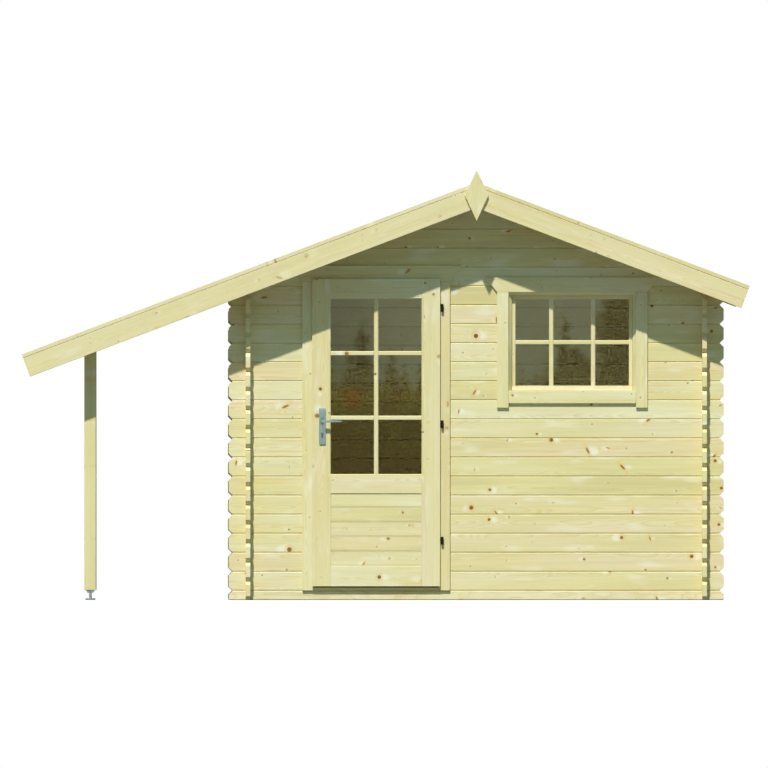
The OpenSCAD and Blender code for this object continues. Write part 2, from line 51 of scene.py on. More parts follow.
HOUSE, DOOR, LEVER = "house", "door", "lever"
WELD = 1e-6  # corners nearer than this are one
SIDES = (-1, "left"), (1, "right")
BEARERS = 5  # bearers under the floor
THIN_BAR, THIN_BEVEL, DEEP_BEVEL = 0.006, 0.001, 0.004  # a glazing bar no deeper than the first has the small bevel
BAR_GAP = 0.0001  # between a cross bar and an upright one
X, Y, Z = Vector((1, 0, 0)), Vector((0, 1, 0)), Vector((0, 0, 1))
Colour = tuple[float, float, float, float]
Outline = Sequence[tuple[float, float]]


def linear(red: float, green: float, blue: float) -> Colour:
    """A colour written as display values from 0 to 255, as the scene-linear colour of a shader."""
    levels = (red / 255, green / 255, blue / 255)
    return (*(v / 12.92 if v <= 0.04045 else ((v + 0.055) / 1.055) ** 2.4 for v in levels), 1.0)


class Wire:
    """An output in a node tree that counts like a number: arithmetic on it adds Math nodes."""

    def __init__(self, graph: "Graph", socket: bpy.types.NodeSocket) -> None:
        """Takes up an output."""
        self.graph, self.socket = graph, socket

    def __add__(self, other: Any) -> "Wire":
        """The sum."""
        return self.graph.math("ADD", self, other)

    def __sub__(self, other: Any) -> "Wire":
        """The difference."""
        return self.graph.math("SUBTRACT", self, other)

    def __rsub__(self, other: float) -> "Wire":
        """A plain number less this one."""
        return self.graph.math("SUBTRACT", other, self)

    def __mul__(self, other: Any) -> "Wire":
        """The product."""
        return self.graph.math("MULTIPLY", self, other)

    def __truediv__(self, other: Any) -> "Wire":
        """The quotient."""
        return self.graph.math("DIVIDE", self, other)

    def __pow__(self, other: Any) -> "Wire":
        """The power."""
        return self.graph.math("POWER", self, other)


class Graph:
    """A node tree while it is being wired up."""

    def __init__(self, tree: bpy.types.NodeTree) -> None:
        """Wraps a tree."""
        self.tree = tree

    @classmethod
    def emptied(cls, owner: bpy.types.Material | bpy.types.World) -> "Graph":
        """The tree of a material or of the surroundings, without the nodes it starts with."""
        owner.use_nodes = True
        owner.node_tree.nodes.clear()
        return cls(owner.node_tree)

    def add(self, kind: str, inputs: Mapping[str | int, Any] | None = None, **settings: Any) -> bpy.types.Node:
        """Adds a node.

        Args:
            kind: The node's type.
            inputs: What each input takes, by name or number: an output to link or a plain value.
            **settings: The node's own properties.

        Returns:
            The new node.
        """
        node = self.tree.nodes.new(kind)
        for name, value in settings.items():
            setattr(node, name, value)
        for key, value in (inputs or {}).items():
            source = value.socket if isinstance(value, Wire) else value
            if isinstance(source, bpy.types.NodeSocket):
                self.tree.links.new(source, node.inputs[key])
            else:
                node.inputs[key].default_value = source
        return node

    def out(self, kind: str, inputs: Mapping[str | int, Any] | None = None, output: str | int = 0,
            **settings: Any) -> Wire:
        """One output of a new node."""
        return Wire(self, self.add(kind, inputs, **settings).outputs[output])

    def math(self, operation: str, a: Any, b: Any = 0.0, c: Any = 0.0) -> Wire:
        """The result of a Math node."""
        return self.out("ShaderNodeMath", {0: a, 1: b, 2: c}, operation=operation)

    def length(self, a: Wire, b: Wire) -> Wire:
        """Length of a vector in the plane."""
        return self.math("SQRT", a * a + b * b)

    def dot(self, a: Any, b: Any) -> Wire:
        """The dot product of two vectors."""
        return self.out("ShaderNodeVectorMath", {0: a, 1: b}, "Value", operation="DOT_PRODUCT")

    def apart(self, a: Any, b: Any) -> Wire:
        """One vector less another."""
        return self.out("ShaderNodeVectorMath", {0: a, 1: b}, operation="SUBTRACT")

    def vector(self, x: Any, y: Any = 0.0, z: Any = 0.0) -> Wire:
        """A vector put together from three numbers."""
        return self.out("ShaderNodeCombineXYZ", {0: x, 1: y, 2: z})

    def parts(self, value: Any) -> list[Wire]:
        """The three numbers of a vector or colour."""
        return [Wire(self, socket) for socket in self.add("ShaderNodeSeparateXYZ", {0: value}).outputs]

    def scaled(self, value: Any, low: Any, high: Any, to_low: Any = 0.0, to_high: Any = 1.0,
               smooth: bool = True) -> Wire:
        """A value taken from one range to another, and kept inside it."""
        return self.out("ShaderNodeMapRange", {0: value, 1: low, 2: high, 3: to_low, 4: to_high},
                        interpolation_type="SMOOTHSTEP" if smooth else "LINEAR")

    def swing(self, value: Any, low: float, high: float, reach: float) -> Wire:
        """A value taken evenly from one range to as much on either side of nought."""
        return self.scaled(value, low, high, -reach, reach, False)

    def mix(self, share: Any, a: Any, b: Any, blend: str = "MIX") -> Wire:
        """Two colours mixed."""
        return self.out("ShaderNodeMix", {0: share, 6: a, 7: b}, 2, data_type="RGBA", blend_type=blend)

    def dimmed(self, colour: Any, keep: Any, where: Any = 1.0) -> Wire:
        """A colour that keeps a share of its brightness, in the places where another number is 1."""
        grey = self.vector(keep, keep, keep) if isinstance(keep, Wire) else (keep, keep, keep, 1.0)
        return self.mix(where, colour, grey, "MULTIPLY")

    def noise(self, place: Any, detail: float = 2.0, roughness: float = 0.5, output: str | int = 0) -> Wire:
        """A noise texture whose scale lies in its place vector."""
        return self.out("ShaderNodeTexNoise", {"Vector": place, "Scale": 1.0, "Detail": detail,
                                               "Roughness": roughness}, output)

    def chance(self, number: Any) -> list[Wire]:
        """Three random numbers from 0 to 1 that a number fixes."""
        return self.parts(self.out("ShaderNodeTexWhiteNoise", {"W": number}, "Color", noise_dimensions="1D"))

    def coat(self, colour: Any, roughness: Any, relief: tuple[Any, float, float], **more: float) -> Wire:
        """A Principled shader.

        Args:
            colour: Its base colour.
            roughness: Its roughness.
            relief: Height of its relief, how strongly that shows, and its depth in metres.
            **more: Its other inputs, with _ for each space.

        Returns:
            The shader.
        """
        height, strength, depth = relief
        bump = self.out("ShaderNodeBump", {"Strength": strength, "Distance": depth, "Height": height})
        given = {name.replace("_", " "): value for name, value in more.items()}
        return self.out("ShaderNodeBsdfPrincipled", {"Base Color": colour, "Roughness": roughness, "Normal": bump,
                                                     **given})


@dataclass(frozen=True)
class PlanedPine:
    """The shared node group for planed pine: growth rings round a pith, fibres, knots and boards that differ.

    Colours are display values from 0 to 255 and lengths are in metres.

    Attributes:
        cream: Colour of the palest boards.
        straw: Colour of middling boards.
        buff: Colour of the darkest boards.
        rose: Colour of a pink flush that some boards have.
        peach: Colour of resin and of wood round knots.
        pale: Colour of the fair wood on one side of a knot.
        late_wood: Colour of the end of a growth ring.
        knot: Colour of a large knot.
        knot_small: Colour of a small knot.
        knot_heart: Colour of a knot's middle.
        knot_rim: Colour of the bark round a knot.
        ring: Width of a growth ring.
        knot_cell: Length of board that holds one knot at most.
        knot_squeeze: Width of that cell as a share of its length.
        knot_sizes: Radius of the smallest and the largest knot.
        large_from: Radii over which a knot turns from a small one into a large one.
        streaks: How fine the streaks are along and across the board, in turns a metre.
        fibres: How fine the fibres are.
        resins: How fine the resin streaks are.
        waves: How fine the waves of the growth rings are.
        pith_aside: How far the pith may lie to one side of a board's middle.
        pith_behind: How near and how far behind the board it may lie.
        wander: How far it moves sideways, and to and from the board.
        ring_wave: How far growth rings waver.
        ring_bend: How far they bend round a knot.
    """

    cream: tuple[int, int, int] = (230, 223, 180)
    straw: tuple[int, int, int] = (223, 212, 152)
    buff: tuple[int, int, int] = (212, 200, 142)
    rose: tuple[int, int, int] = (230, 209, 168)
    peach: tuple[int, int, int] = (230, 188, 112)
    pale: tuple[int, int, int] = (239, 232, 203)
    late_wood: tuple[int, int, int] = (202, 182, 116)
    knot: tuple[int, int, int] = (156, 112, 46)
    knot_small: tuple[int, int, int] = (140, 128, 74)
    knot_heart: tuple[int, int, int] = (98, 70, 28)
    knot_rim: tuple[int, int, int] = (104, 88, 46)
    ring: float = 0.0032
    knot_cell: float = 0.2
    knot_squeeze: float = 0.86
    knot_sizes: tuple[float, float] = (0.0038, 0.013)
    large_from: tuple[float, float] = (0.0042, 0.0085)
    streaks: tuple[float, float] = (1.3, 42.0)
    fibres: tuple[float, float] = (14.0, 850.0)
    resins: tuple[float, float] = (2.4, 90.0)
    waves: tuple[float, float] = (3.0, 22.0)
    pith_aside: float = 0.055
    pith_behind: tuple[float, float] = (0.018, 0.085)
    wander: tuple[float, float] = (0.022, 0.02)
    ring_wave: float = 0.0022
    ring_bend: float = 0.006

    def tree(self) -> bpy.types.NodeTree:
        """Builds the group.

        Returns:
            A node group that takes Grain, the place in the board along, across and through it, and Board,
            a number that differs from board to board, and gives Color, Roughness and Height.
        """
        group = bpy.data.node_groups.new("planed_pine", "ShaderNodeTree")
        for name, kind, way in (("Grain", "Vector", "INPUT"), ("Board", "Float", "INPUT"), ("Color", "Color", "OUTPUT"),
                                ("Roughness", "Float", "OUTPUT"), ("Height", "Float", "OUTPUT")):
            group.interface.new_socket(name, in_out=way, socket_type=f"NodeSocket{kind}")
        g = Graph(group)
        given = g.add("NodeGroupInput").outputs
        board = Wire(g, given["Board"])
        along, across, deep = g.parts(given["Grain"])
        luck, more = g.chance(board + 0.37), g.chance(board + 71.3)
        run = along + luck[0] * 37.0
        place = run, across, deep
        drift = g.parts(g.noise(g.vector(run * 1.1, board * 3.7), output="Color"))
        patch = g.noise(g.vector(run * 4.2, across * 15.0, board * 1.9), 1.0)
        core, heart, rim, halo, fair, large = self.knots(g, run, across, luck, patch)
        radius = self.rings_radius(g, place, luck, more, drift, halo)
        phase = g.math("FRACT", radius / self.ring)
        late = phase ** 2.6 * g.scaled(phase, 1.0, 0.93)
        streak = self.figure(g, place, self.streaks, 3.0, 0.6)
        fibre = self.figure(g, place, self.fibres, 2.0, 0.6)
        cloud = g.noise(g.vector(run * 0.9, across * 7.0, board * 2.3))

        tone = more[1] * 0.55 + g.scaled(cloud, 0.3, 0.7, 0.0, 0.5)
        colour = g.mix(g.scaled(tone, 0.15, 0.75), linear(*self.cream), linear(*self.straw))
        colour = g.mix(g.scaled(tone, 0.7, 1.05), colour, linear(*self.buff))
        flush = g.scaled(more[0], 0.35, 0.95) * g.scaled(cloud, 0.62, 0.38, 0.2, 0.62)
        colour = g.mix(flush, colour, linear(*self.rose))
        resin = self.figure(g, place, self.resins)
        blush = g.scaled(resin, 0.56, 0.72) * g.scaled(more[2], 0.2, 1.0, 0.1, 0.8)
        colour = g.mix(blush, colour, linear(*self.peach))
        colour = g.mix(late * 0.5, colour, linear(*self.late_wood))
        colour = g.dimmed(colour, g.scaled(streak, 0.25, 0.75, 0.95, 1.04) + g.scaled(fibre, 0.2, 0.8, -0.035, 0.035))
        fair = g.math("MAXIMUM", fair, g.scaled(patch, 0.58, 0.8, 0.0, 0.5))
        colour = g.mix(fair, colour, linear(*self.pale))
        colour = g.mix(g.scaled(halo, 0.72, 1.0) * large * 0.45, colour, linear(*self.peach))
        wood = g.mix(large, linear(*self.knot_small), linear(*self.knot))
        colour = g.mix(core, colour, g.mix(heart, wood, linear(*self.knot_heart)))
        colour = g.mix(rim, colour, linear(*self.knot_rim))

        height = late * 0.35 + fibre * 0.45 + rim * -0.6
        gloss = g.scaled(fibre, 0.2, 0.8, 0.56, 0.68) + core * -0.16
        g.add("NodeGroupOutput", {"Color": colour, "Roughness": gloss, "Height": height})
        return group

    @staticmethod
    def figure(g: Graph, place: tuple[Wire, Wire, Wire], scale: tuple[float, float], detail: float = 2.0,
               roughness: float = 0.5) -> Wire:
        """Noise drawn out along the board."""
        run, across, deep = place
        return g.noise(g.vector(run * scale[0], across * scale[1], deep * scale[1]), detail, roughness)

    def knots(self, g: Graph, run: Wire, across: Wire, luck: Sequence[Wire], patch: Wire) -> tuple[Wire, ...]:
        """Knots scattered over the boards: round ones and slanting ones, many with fair wood on one side.

        Args:
            g: The graph to add to.
            run: Place along the board.
            across: Place across the board.
            luck: Random numbers of the board.
            patch: A soft pattern that frays the fair wood.

        Returns:
            How much a point is coloured like a knot, in its dark heart, on its rim, near a knot and in fair wood,
            and how large the nearest knot is.
        """
        tall_cell = self.knot_cell * self.knot_squeeze
        place = g.vector(run / self.knot_cell, across / tall_cell + luck[1] * 57.0)
        cell = g.add("ShaderNodeTexVoronoi", {"Vector": place, "Scale": 1.0, "Randomness": 1.0},
                     voronoi_dimensions="2D", feature="F1")
        kind = g.parts(cell.outputs["Color"])
        off = g.parts(g.apart(place, cell.outputs["Position"]))
        dx, dy = off[0] * self.knot_cell, off[1] * tall_cell
        there = g.scaled(kind[1], 0.2, 0.26)
        size = g.scaled(kind[0] ** 2.2, 0.0, 1.0, *self.knot_sizes, False) * there
        size = g.math("MAXIMUM", size, 0.0001)

        slant = g.scaled(kind[2], 0.4, 0.44, 1.0, 0.0)
        turn = kind[1] * 40.0
        cos, sin = g.math("COSINE", turn), g.math("SINE", turn)
        u = (dx * cos + dy * sin) * g.scaled(slant, 0.0, 1.0, 1.0, 0.6, False)
        v = (dy * cos - dx * sin) * g.scaled(slant, 0.0, 1.0, 1.0, 1.9, False)
        ragged = g.noise(g.vector(run * 160.0, across * 160.0))
        share = (g.length(u, v) + g.swing(ragged, 0.0, 1.0, 0.0022)) / size

        large = g.scaled(size, *self.large_from)
        core = g.scaled(share, 1.15, 0.8) * g.scaled(large, 0.0, 1.0, 0.6, 0.95) * there
        heart = g.scaled(share, 0.8, 0.3) * g.scaled(kind[2], 0.2, 0.8)
        heart = g.math("MAXIMUM", heart, g.scaled(kind[2], 0.8, 0.86))
        rim = g.scaled(share, 1.2, 1.0) * g.scaled(share, 0.7, 0.9) * g.scaled(kind[2], 0.3, 0.6, 0.15, 0.8) * there
        halo = g.scaled(share, 5.5, 1.5) * there

        side = g.scaled(g.math("FRACT", kind[1] * 13.0), 0.49, 0.51, -1.0, 1.0)
        wide = (dx - size * side * 2.6) / (size * 3.6)
        tall = dy / (size * 2.3)
        reach = g.length(wide, tall) + g.swing(patch, 0.2, 0.8, -0.6)
        fair = g.scaled(reach, 1.15, 0.2) * (there * g.scaled(large, 0.0, 1.0, 0.22, 0.8))
        return core, heart, rim, halo, fair, large

    def rings_radius(self, g: Graph, place: tuple[Wire, Wire, Wire], luck: Sequence[Wire], more: Sequence[Wire],
                     drift: Sequence[Wire], halo: Wire) -> Wire:
        """Distance from the pith of the tree, which wanders along the board and bends round knots.

        Args:
            g: The graph to add to.
            place: Place along, across and through the board.
            luck: Random numbers of the board.
            more: More random numbers of the board.
            drift: How far the pith wanders, from 0 to 1.
            halo: How near a knot is.

        Returns:
            The distance in metres.
        """
        middle = g.swing(luck[2], 0.0, 1.0, self.pith_aside) + g.swing(drift[0], 0.2, 0.8, self.wander[0])
        behind = g.scaled(more[0], 0.0, 1.0, *self.pith_behind, False) + g.swing(drift[1], 0.2, 0.8, self.wander[1])
        radius = g.length(place[1] - middle, place[2] + behind)
        wave = self.figure(g, place, self.waves)
        return radius + g.swing(wave, 0.2, 0.8, self.ring_wave) + halo * self.ring_bend


class Run(Enum):
    """Which way the grain of a timber runs, as its directions along and across."""

    LENGTHWAYS = (X, Z)
    FRONT_TO_BACK = (Y, Z)


@dataclass(frozen=True)
class Finish:
    """What every finish has: a name and a way to become a material.

    Attributes:
        name: Name of the finish.
    """

    name: str

    def material(self) -> bpy.types.Material:
        """Builds the material, or gives the one that is there already.

        Returns:
            The material.
        """
        name = f"{self.name}_finish"
        found = bpy.data.materials.get(name)
        if found:
            return found
        material = bpy.data.materials.new(name)
        g = Graph.emptied(material)
        g.add("ShaderNodeOutputMaterial", {"Surface": self.surface(g)})
        return material

    def surface(self, g: Graph) -> Wire:
        """The shader of the finish."""
        raise NotImplementedError

    @staticmethod
    def place(g: Graph) -> Wire:
        """The place on the object, in metres."""
        return g.out("ShaderNodeTexCoord", output="Object")


@dataclass(frozen=True)
class Pine(Finish):
    """Planed pine on a piece that carries its own place in the grain as attributes.

    Attributes:
        upward_shade: Share of its brightness that the wood keeps on faces that look up: painted shade that tones down
            the stronger sun on them.
    """

    upward_shade: float = 1.0

    def with_painted_shade(self, g: Graph, colour: Any) -> Any:
        """The wood's colour with any painted shade, of which plain pine has none."""
        return colour

    def grain(self, g: Graph) -> tuple[Wire, Wire]:
        """Place in the board, and the board's number."""
        return (g.out("ShaderNodeAttribute", output="Vector", attribute_name="grain"),
                g.out("ShaderNodeAttribute", output="Fac", attribute_name="board"))

    def surface(self, g: Graph) -> Wire:
        """Pine over the grain.

        Args:
            g: The graph to add to.

        Returns:
            The shader.
        """
        grain, board = self.grain(g)
        tree = bpy.data.node_groups.get("planed_pine") or PlanedPine().tree()
        wood = g.add("ShaderNodeGroup", {"Grain": grain, "Board": board}, node_tree=tree).outputs
        colour = self.with_painted_shade(g, wood["Color"])
        # painted shade: faces that look up keep only a share of their brightness, to tone down the stronger sun on them
        if self.upward_shade != 1.0:
            up = g.parts(g.out("ShaderNodeNewGeometry", output="Normal"))[2]
            colour = g.dimmed(colour, self.upward_shade, g.scaled(up, 0.45, 0.6))
        return g.coat(colour, wood["Roughness"], (wood["Height"], 0.35, 0.0006), Specular_IOR_Level=0.28)


@dataclass(frozen=True)
class SawnPine(Pine):
    """Planed pine on a packed timber, or on courses of timbers, by its place in the house.

    Attributes:
        run: Which way the grain runs.
        centre: Middle of the timber, or of the lowest course.
        course: Height of one course, or 0 for a single timber.
        seed: Number of the first board.
        split: Direction in which several timbers lie apart on both sides of the centre.
        spread: How far apart they lie.
        groove_shade: Share of their brightness that the chamfers of the joints between courses keep indoors, as painted
            shade, or 0 for all of it.
    """

    run: Run = Run.LENGTHWAYS
    centre: tuple[float, float, float] = (0.0, 0.0, 0.0)
    course: float = 0.0
    seed: float = 0.0
    split: tuple[float, float, float] = (0.0, 0.0, 0.0)
    spread: float = 0.0
    groove_shade: float = 0.0

    def with_painted_shade(self, g: Graph, colour: Any) -> Any:
        """Paints shade on the chamfers of the joints between courses on the side that faces the room.

        Args:
            g: The graph to add to.
            colour: The wood's own colour.

        Returns:
            The colour with painted shade in the joints.
        """
        if not self.groove_shade:
            return colour
        normal = g.parts(g.out("ShaderNodeNewGeometry", output="Normal"))
        # painted shade on the joint chamfers that lean towards the room
        lean = g.scaled(g.math("ABSOLUTE", normal[2]), 0.2, 0.4) * g.scaled(normal[1], 0.0, -0.2)
        return g.dimmed(colour, self.groove_shade, lean)

    def grain(self, g: Graph) -> tuple[Wire, Wire]:
        """Place in the board, and the board's number.

        Args:
            g: The graph to add to.

        Returns:
            The place along, across and through the board, and the number.
        """
        local = g.apart(self.place(g), self.centre)
        along_way, across_way = self.run.value
        along, across = g.dot(local, along_way), g.dot(local, across_way)
        deep = g.dot(local, along_way.cross(across_way))
        board: Any = self.seed
        if self.course:
            level = across / self.course
            row = g.math("FLOOR", level + 0.5)
            across = (level - row) * self.course
            board = row + self.seed
        if self.spread:
            board = g.math("ROUND", g.dot(local, self.split) / self.spread) * 17.0 + board
        if not isinstance(board, Wire):
            board = g.out("ShaderNodeValue")
            board.socket.default_value = self.seed
        return g.vector(along, across, deep), board


@dataclass(frozen=True)
class SatinSteel(Finish):
    """Brushed steel with a cool cast.

    Attributes:
        tone: Its colour.
        dim: Its colour where hands have dulled it.
    """

    tone: tuple[int, int, int] = (136, 156, 149)
    dim: tuple[int, int, int] = (118, 138, 134)

    def surface(self, g: Graph) -> Wire:
        """Steel with fine upright brushing.

        Args:
            g: The graph to add to.

        Returns:
            The shader.
        """
        x, y, z = g.parts(self.place(g))
        brush = g.noise(g.vector(x * 2400.0, y * 2400.0, z * 60.0))
        wear = g.noise(g.vector(x * 40.0, y * 40.0, z * 40.0), 3.0)
        colour = g.mix(g.scaled(wear, 0.3, 0.7, 0.0, 0.3), linear(*self.tone), linear(*self.dim))
        return g.coat(colour, g.scaled(brush, 0.2, 0.8, 0.3, 0.45), (brush, 0.15, 0.0001), Metallic=1.0)


@dataclass(frozen=True)
class DarkSteel(Finish):
    """Blackened steel of the hinges.

    Attributes:
        black: Its colour.
        worn: Its colour where it is worn.
    """

    black: tuple[int, int, int] = (24, 19, 3)
    worn: tuple[int, int, int] = (46, 37, 12)

    def surface(self, g: Graph) -> Wire:
        """Near black, a little worn.

        Args:
            g: The graph to add to.

        Returns:
            The shader.
        """
        x, y, z = g.parts(self.place(g))
        wear = g.noise(g.vector(x * 300.0, y * 300.0, z * 300.0), 3.0, 0.6)
        colour = g.mix(g.scaled(wear, 0.45, 0.75), linear(*self.black), linear(*self.worn))
        return g.coat(colour, g.scaled(wear, 0.3, 0.7, 0.5, 0.65), (wear, 0.2, 0.0002), Specular_IOR_Level=0.12)


@dataclass(frozen=True)
class Galvanised(Finish):
    """Zinc-coated steel with its crystal pattern, darker over its lowest few millimetres, just above the ground.

    Attributes:
        pale: Colour of the brightest crystals.
        dim: Colour of the dullest crystals.
        dark_height: Height up to which it is darker.
        fringe: Height over which that ends.
        low_keep: Share of its brightness that the lower part keeps.
    """

    pale: tuple[int, int, int] = (170, 176, 180)
    dim: tuple[int, int, int] = (126, 132, 136)
    dark_height: float = 0.011
    fringe: float = 0.002
    low_keep: float = 0.72

    def surface(self, g: Graph) -> Wire:
        """Zinc crystals that differ in tone and gloss.

        Args:
            g: The graph to add to.

        Returns:
            The shader.
        """
        cells = g.add("ShaderNodeTexVoronoi", {"Vector": self.place(g), "Scale": 130.0}, feature="F1")
        tone = g.parts(cells.outputs["Color"])
        colour = g.mix(tone[0], linear(*self.dim), linear(*self.pale))
        height = g.parts(self.place(g))[2]
        # darker up to a small height over the ground
        colour = g.dimmed(colour, g.scaled(height, self.dark_height, self.dark_height + self.fringe, self.low_keep, 1.0))
        return g.coat(colour, g.scaled(tone[1], 0.0, 1.0, 0.35, 0.55), (cells.outputs["Distance"], 0.12, 0.0002),
                      Metallic=0.9)


@dataclass(frozen=True)
class Glazing(Finish):
    """Clear sheet glass under a mirror whose colour is a painted reflection of a bright sky over a dim garden.

    Attributes:
        through: Share of light that one face lets through.
        sky: Tint of the painted reflection of the sky.
        garden: Tint of the painted reflection of the garden.
        bark: Tint of its darker, browner parts.
        russet: Tint of a reddish shrub in it.
        shrub: Where that shrub is: x, height, half its width and half its height.
        index: Refractive index that sets how much the glass mirrors.
        hedge: Height under which the garden closes.
        widest: Most that a tree reaches to one side.
        trees: Where the trees of the painted reflection stand over it: x, height of the tip, and how fast they widen.
    """

    through: tuple[float, float, float] = (0.86, 0.84, 0.74)
    sky: tuple[float, float, float] = (0.80, 0.87, 0.57)
    garden: tuple[float, float, float] = (0.44, 0.40, 0.11)
    bark: tuple[float, float, float] = (0.38, 0.30, 0.10)
    russet: tuple[float, float, float] = (0.55, 0.31, 0.08)
    shrub: tuple[float, float, float, float] = (-0.745, 1.225, 0.075, 0.085)
    index: float = 1.98
    hedge: float = 1.22
    widest: float = 0.205
    trees: tuple[tuple[float, float, float], ...] = (
        (-0.90, 1.50, 0.30), (-0.764, 1.475, 0.42), (-0.694, 1.71, 0.26), (-0.62, 1.42, 0.4), (-0.511, 1.49, 0.36),
        (-0.435, 1.43, 0.36), (-0.335, 1.42, 0.3), (0.28, 1.37, 0.4), (0.36, 1.38, 0.4), (0.43, 1.46, 0.24),
        (0.535, 1.76, 0.2), (0.60, 1.57, 0.8), (0.93, 2.27, 0.35))

    def surface(self, g: Graph) -> Wire:
        """Clear glass under a soft mirror whose tint is a painted reflection of sky and garden.

        Args:
            g: The graph to add to.

        Returns:
            The shader.
        """
        x, _, z = g.parts(self.place(g))
        leaves = g.noise(g.vector(x * 75.0, z * 75.0), 3.0, 0.8)
        boughs = g.noise(g.vector(x * 16.0, z * 16.0), 2.0, 0.6)
        cover = self.cover(g, x, z, leaves, boughs)
        tone = g.noise(g.vector(x * 11.0, z * 8.0), 3.0, 0.65)
        # painted reflection: the real mirror takes its tint from painted sky, trees and shrub, placed by position on
        # the glass
        painted_reflection = g.mix(cover, self.painted_sky(g, x, tone), self.painted_garden(g, x, z, leaves, tone))
        clear = g.out("ShaderNodeBsdfTransparent", {"Color": (*self.through, 1.0)})
        mirror = g.out("ShaderNodeBsdfAnisotropic", {"Color": painted_reflection, "Roughness": 0.02})
        share = g.out("ShaderNodeFresnel", {"IOR": self.index})
        return g.out("ShaderNodeMixShader", {0: share, 1: clear, 2: mirror})

    def cover(self, g: Graph, x: Wire, z: Wire, leaves: Wire, boughs: Wire) -> Wire:
        """Where the painted reflection shows the garden in front of the sky, with gaps among its leaves.

        Args:
            g: The graph to add to.
            x: Place across the house.
            z: Height.
            leaves: A fine pattern.
            boughs: A coarse pattern.

        Returns:
            1 where the garden hides the sky and 0 where it doesn't.
        """
        inside: Any = -1.0
        for stem, tip, widening in self.trees:
            aside = g.math("ABSOLUTE", x - stem)
            width = g.math("MINIMUM", (tip - z) * widening, self.widest)
            inside = g.math("MAXIMUM", inside, width - aside)
        inside = inside + g.swing(leaves, 0.4, 0.6, 0.034) + g.swing(boughs, 0.38, 0.62, 0.02)
        low = z + g.swing(leaves, 0.4, 0.6, 0.05) + g.swing(boughs, 0.36, 0.64, 0.1)
        cover = g.math("MAXIMUM", g.scaled(inside, -0.006, 0.006), g.scaled(low, self.hedge + 0.02, self.hedge - 0.02))
        gaps = g.scaled(leaves, 0.52, 0.56) * g.scaled(z, self.hedge, self.hedge + 0.12)
        return cover * g.scaled(gaps, 0.0, 1.0, 1.0, 0.35)

    def painted_garden(self, g: Graph, x: Wire, z: Wire, leaves: Wire, tone: Wire) -> Wire:
        """Colour of the painted reflection of the garden.

        Args:
            g: The graph to add to.
            x: Place across the house.
            z: Height.
            leaves: A fine pattern.
            tone: A soft pattern that parts green from brown.

        Returns:
            The tint.
        """
        colour = g.mix(g.scaled(tone + g.scaled(z, 1.2, 1.0, 0.0, 0.06), 0.42, 0.6), (*self.garden, 1.0),
                       (*self.bark, 1.0))
        sx, sz, wide, tall = self.shrub
        near = g.length((x - sx) / wide, (z - sz) / tall) + g.swing(leaves, 0.3, 0.7, 0.4)
        colour = g.mix(g.scaled(near, 1.1, 0.6, 0.0, 0.85), colour, (*self.russet, 1.0))
        height = g.scaled(z, 1.05, 1.25, 0.68, 1.06) * g.scaled(z, 1.3, 1.5, 1.0, g.scaled(x, -0.3, 0.1, 0.45, 0.72))
        return g.dimmed(colour, g.scaled(leaves, 0.41, 0.59, 0.2, 1.85, False) * height)

    def painted_sky(self, g: Graph, x: Wire, tone: Wire) -> Wire:
        """Colour of the painted reflection of the sky, which is dimmer to the left."""
        return g.dimmed((*self.sky, 1.0), g.scaled(tone, 0.25, 0.75, 0.94, 1.05) *
                        g.scaled(x, -0.9, -0.4, 0.58, 0.84, False))


PINE = Pine("pine")
# The sill and roof pine paint shade on their upward faces, to tone down the stronger sun there
SILL_PINE = Pine("pine_sill", 0.79)
ROOF_PINE = Pine("pine_roof", 0.76)
STEEL = SatinSteel("satin_steel")
# The lock cylinder's darker steel is partly painted shade of its recessed keyhole
LOCK_STEEL = SatinSteel("lock_steel", (92, 104, 108), (72, 84, 88))
DARK = DarkSteel("dark_steel")
ZINC = Galvanised("galvanised_steel")
GLASS = Glazing("glazing")


class Slot(Enum):
    """Material slots of the record."""

    LOG = "pine_log"
    BOARD = "pine_board"
    BEAM = "pine_beam"
    JOINERY = "pine_joinery"
    GLASS = "glass"
    STEEL = "satin_steel"
    HINGE = "dark_hinge"
    ZINC = "galvanised_steel"


class FirstBoard:
    """Number of the first board of each kind of timber. A board's number fixes its looks, so they lie apart."""

    LOGS = 100.0
    SIDE_LOGS = 1000.0
    BASE_LOGS = 1500.0
    EASED = 2003.0
    PURLINS = 3000.0
    ROOF_EDGES = 4000.0
    STILES = 4100.0
    RAILS = 4110.0
    DOOR_BEADS = 4200.0
    DOOR_BARS = 4300.0
    WINDOW_BARS = 4500.0
    TONGUES = 5000.0


class Seed:
    """Seeds of the node trees."""

    ROOFS = 3
    PANEL = 5
    FLOOR = 11
    BARGE_SCREWS, ROOF_SCREWS, FLOOR_SCREWS = 21, 22, 23


def centre(node: str) -> tuple[float, ...]:
    """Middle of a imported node's box."""
    return tuple((low + high) / 2 for low, high in zip(*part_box(node)))


def new_object(name: str, data: Any) -> bpy.types.Object:
    """Puts a mesh, lamp or camera into the scene as an object."""
    item = bpy.data.objects.new(name, data)
    bpy.context.scene.collection.objects.link(item)
    return item


def evaluated(item: bpy.types.Object) -> bpy.types.Mesh:
    """What an object's modifiers make of its mesh, as a plain mesh."""
    graph = bpy.context.evaluated_depsgraph_get()
    return bpy.data.meshes.new_from_object(item.evaluated_get(graph), preserve_all_data_layers=True, depsgraph=graph)


def place_piece(name: str, mesh: bpy.types.Mesh, body: str, replaced: Sequence[str] = ()) -> None:
    """Puts a finished mesh into the scene as a piece.

    Args:
        name: Name of the piece.
        mesh: Its mesh, in place.
        body: The body it moves with.
        replaced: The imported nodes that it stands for.
    """
    finish_piece(new_object(name, mesh), body, replaced)


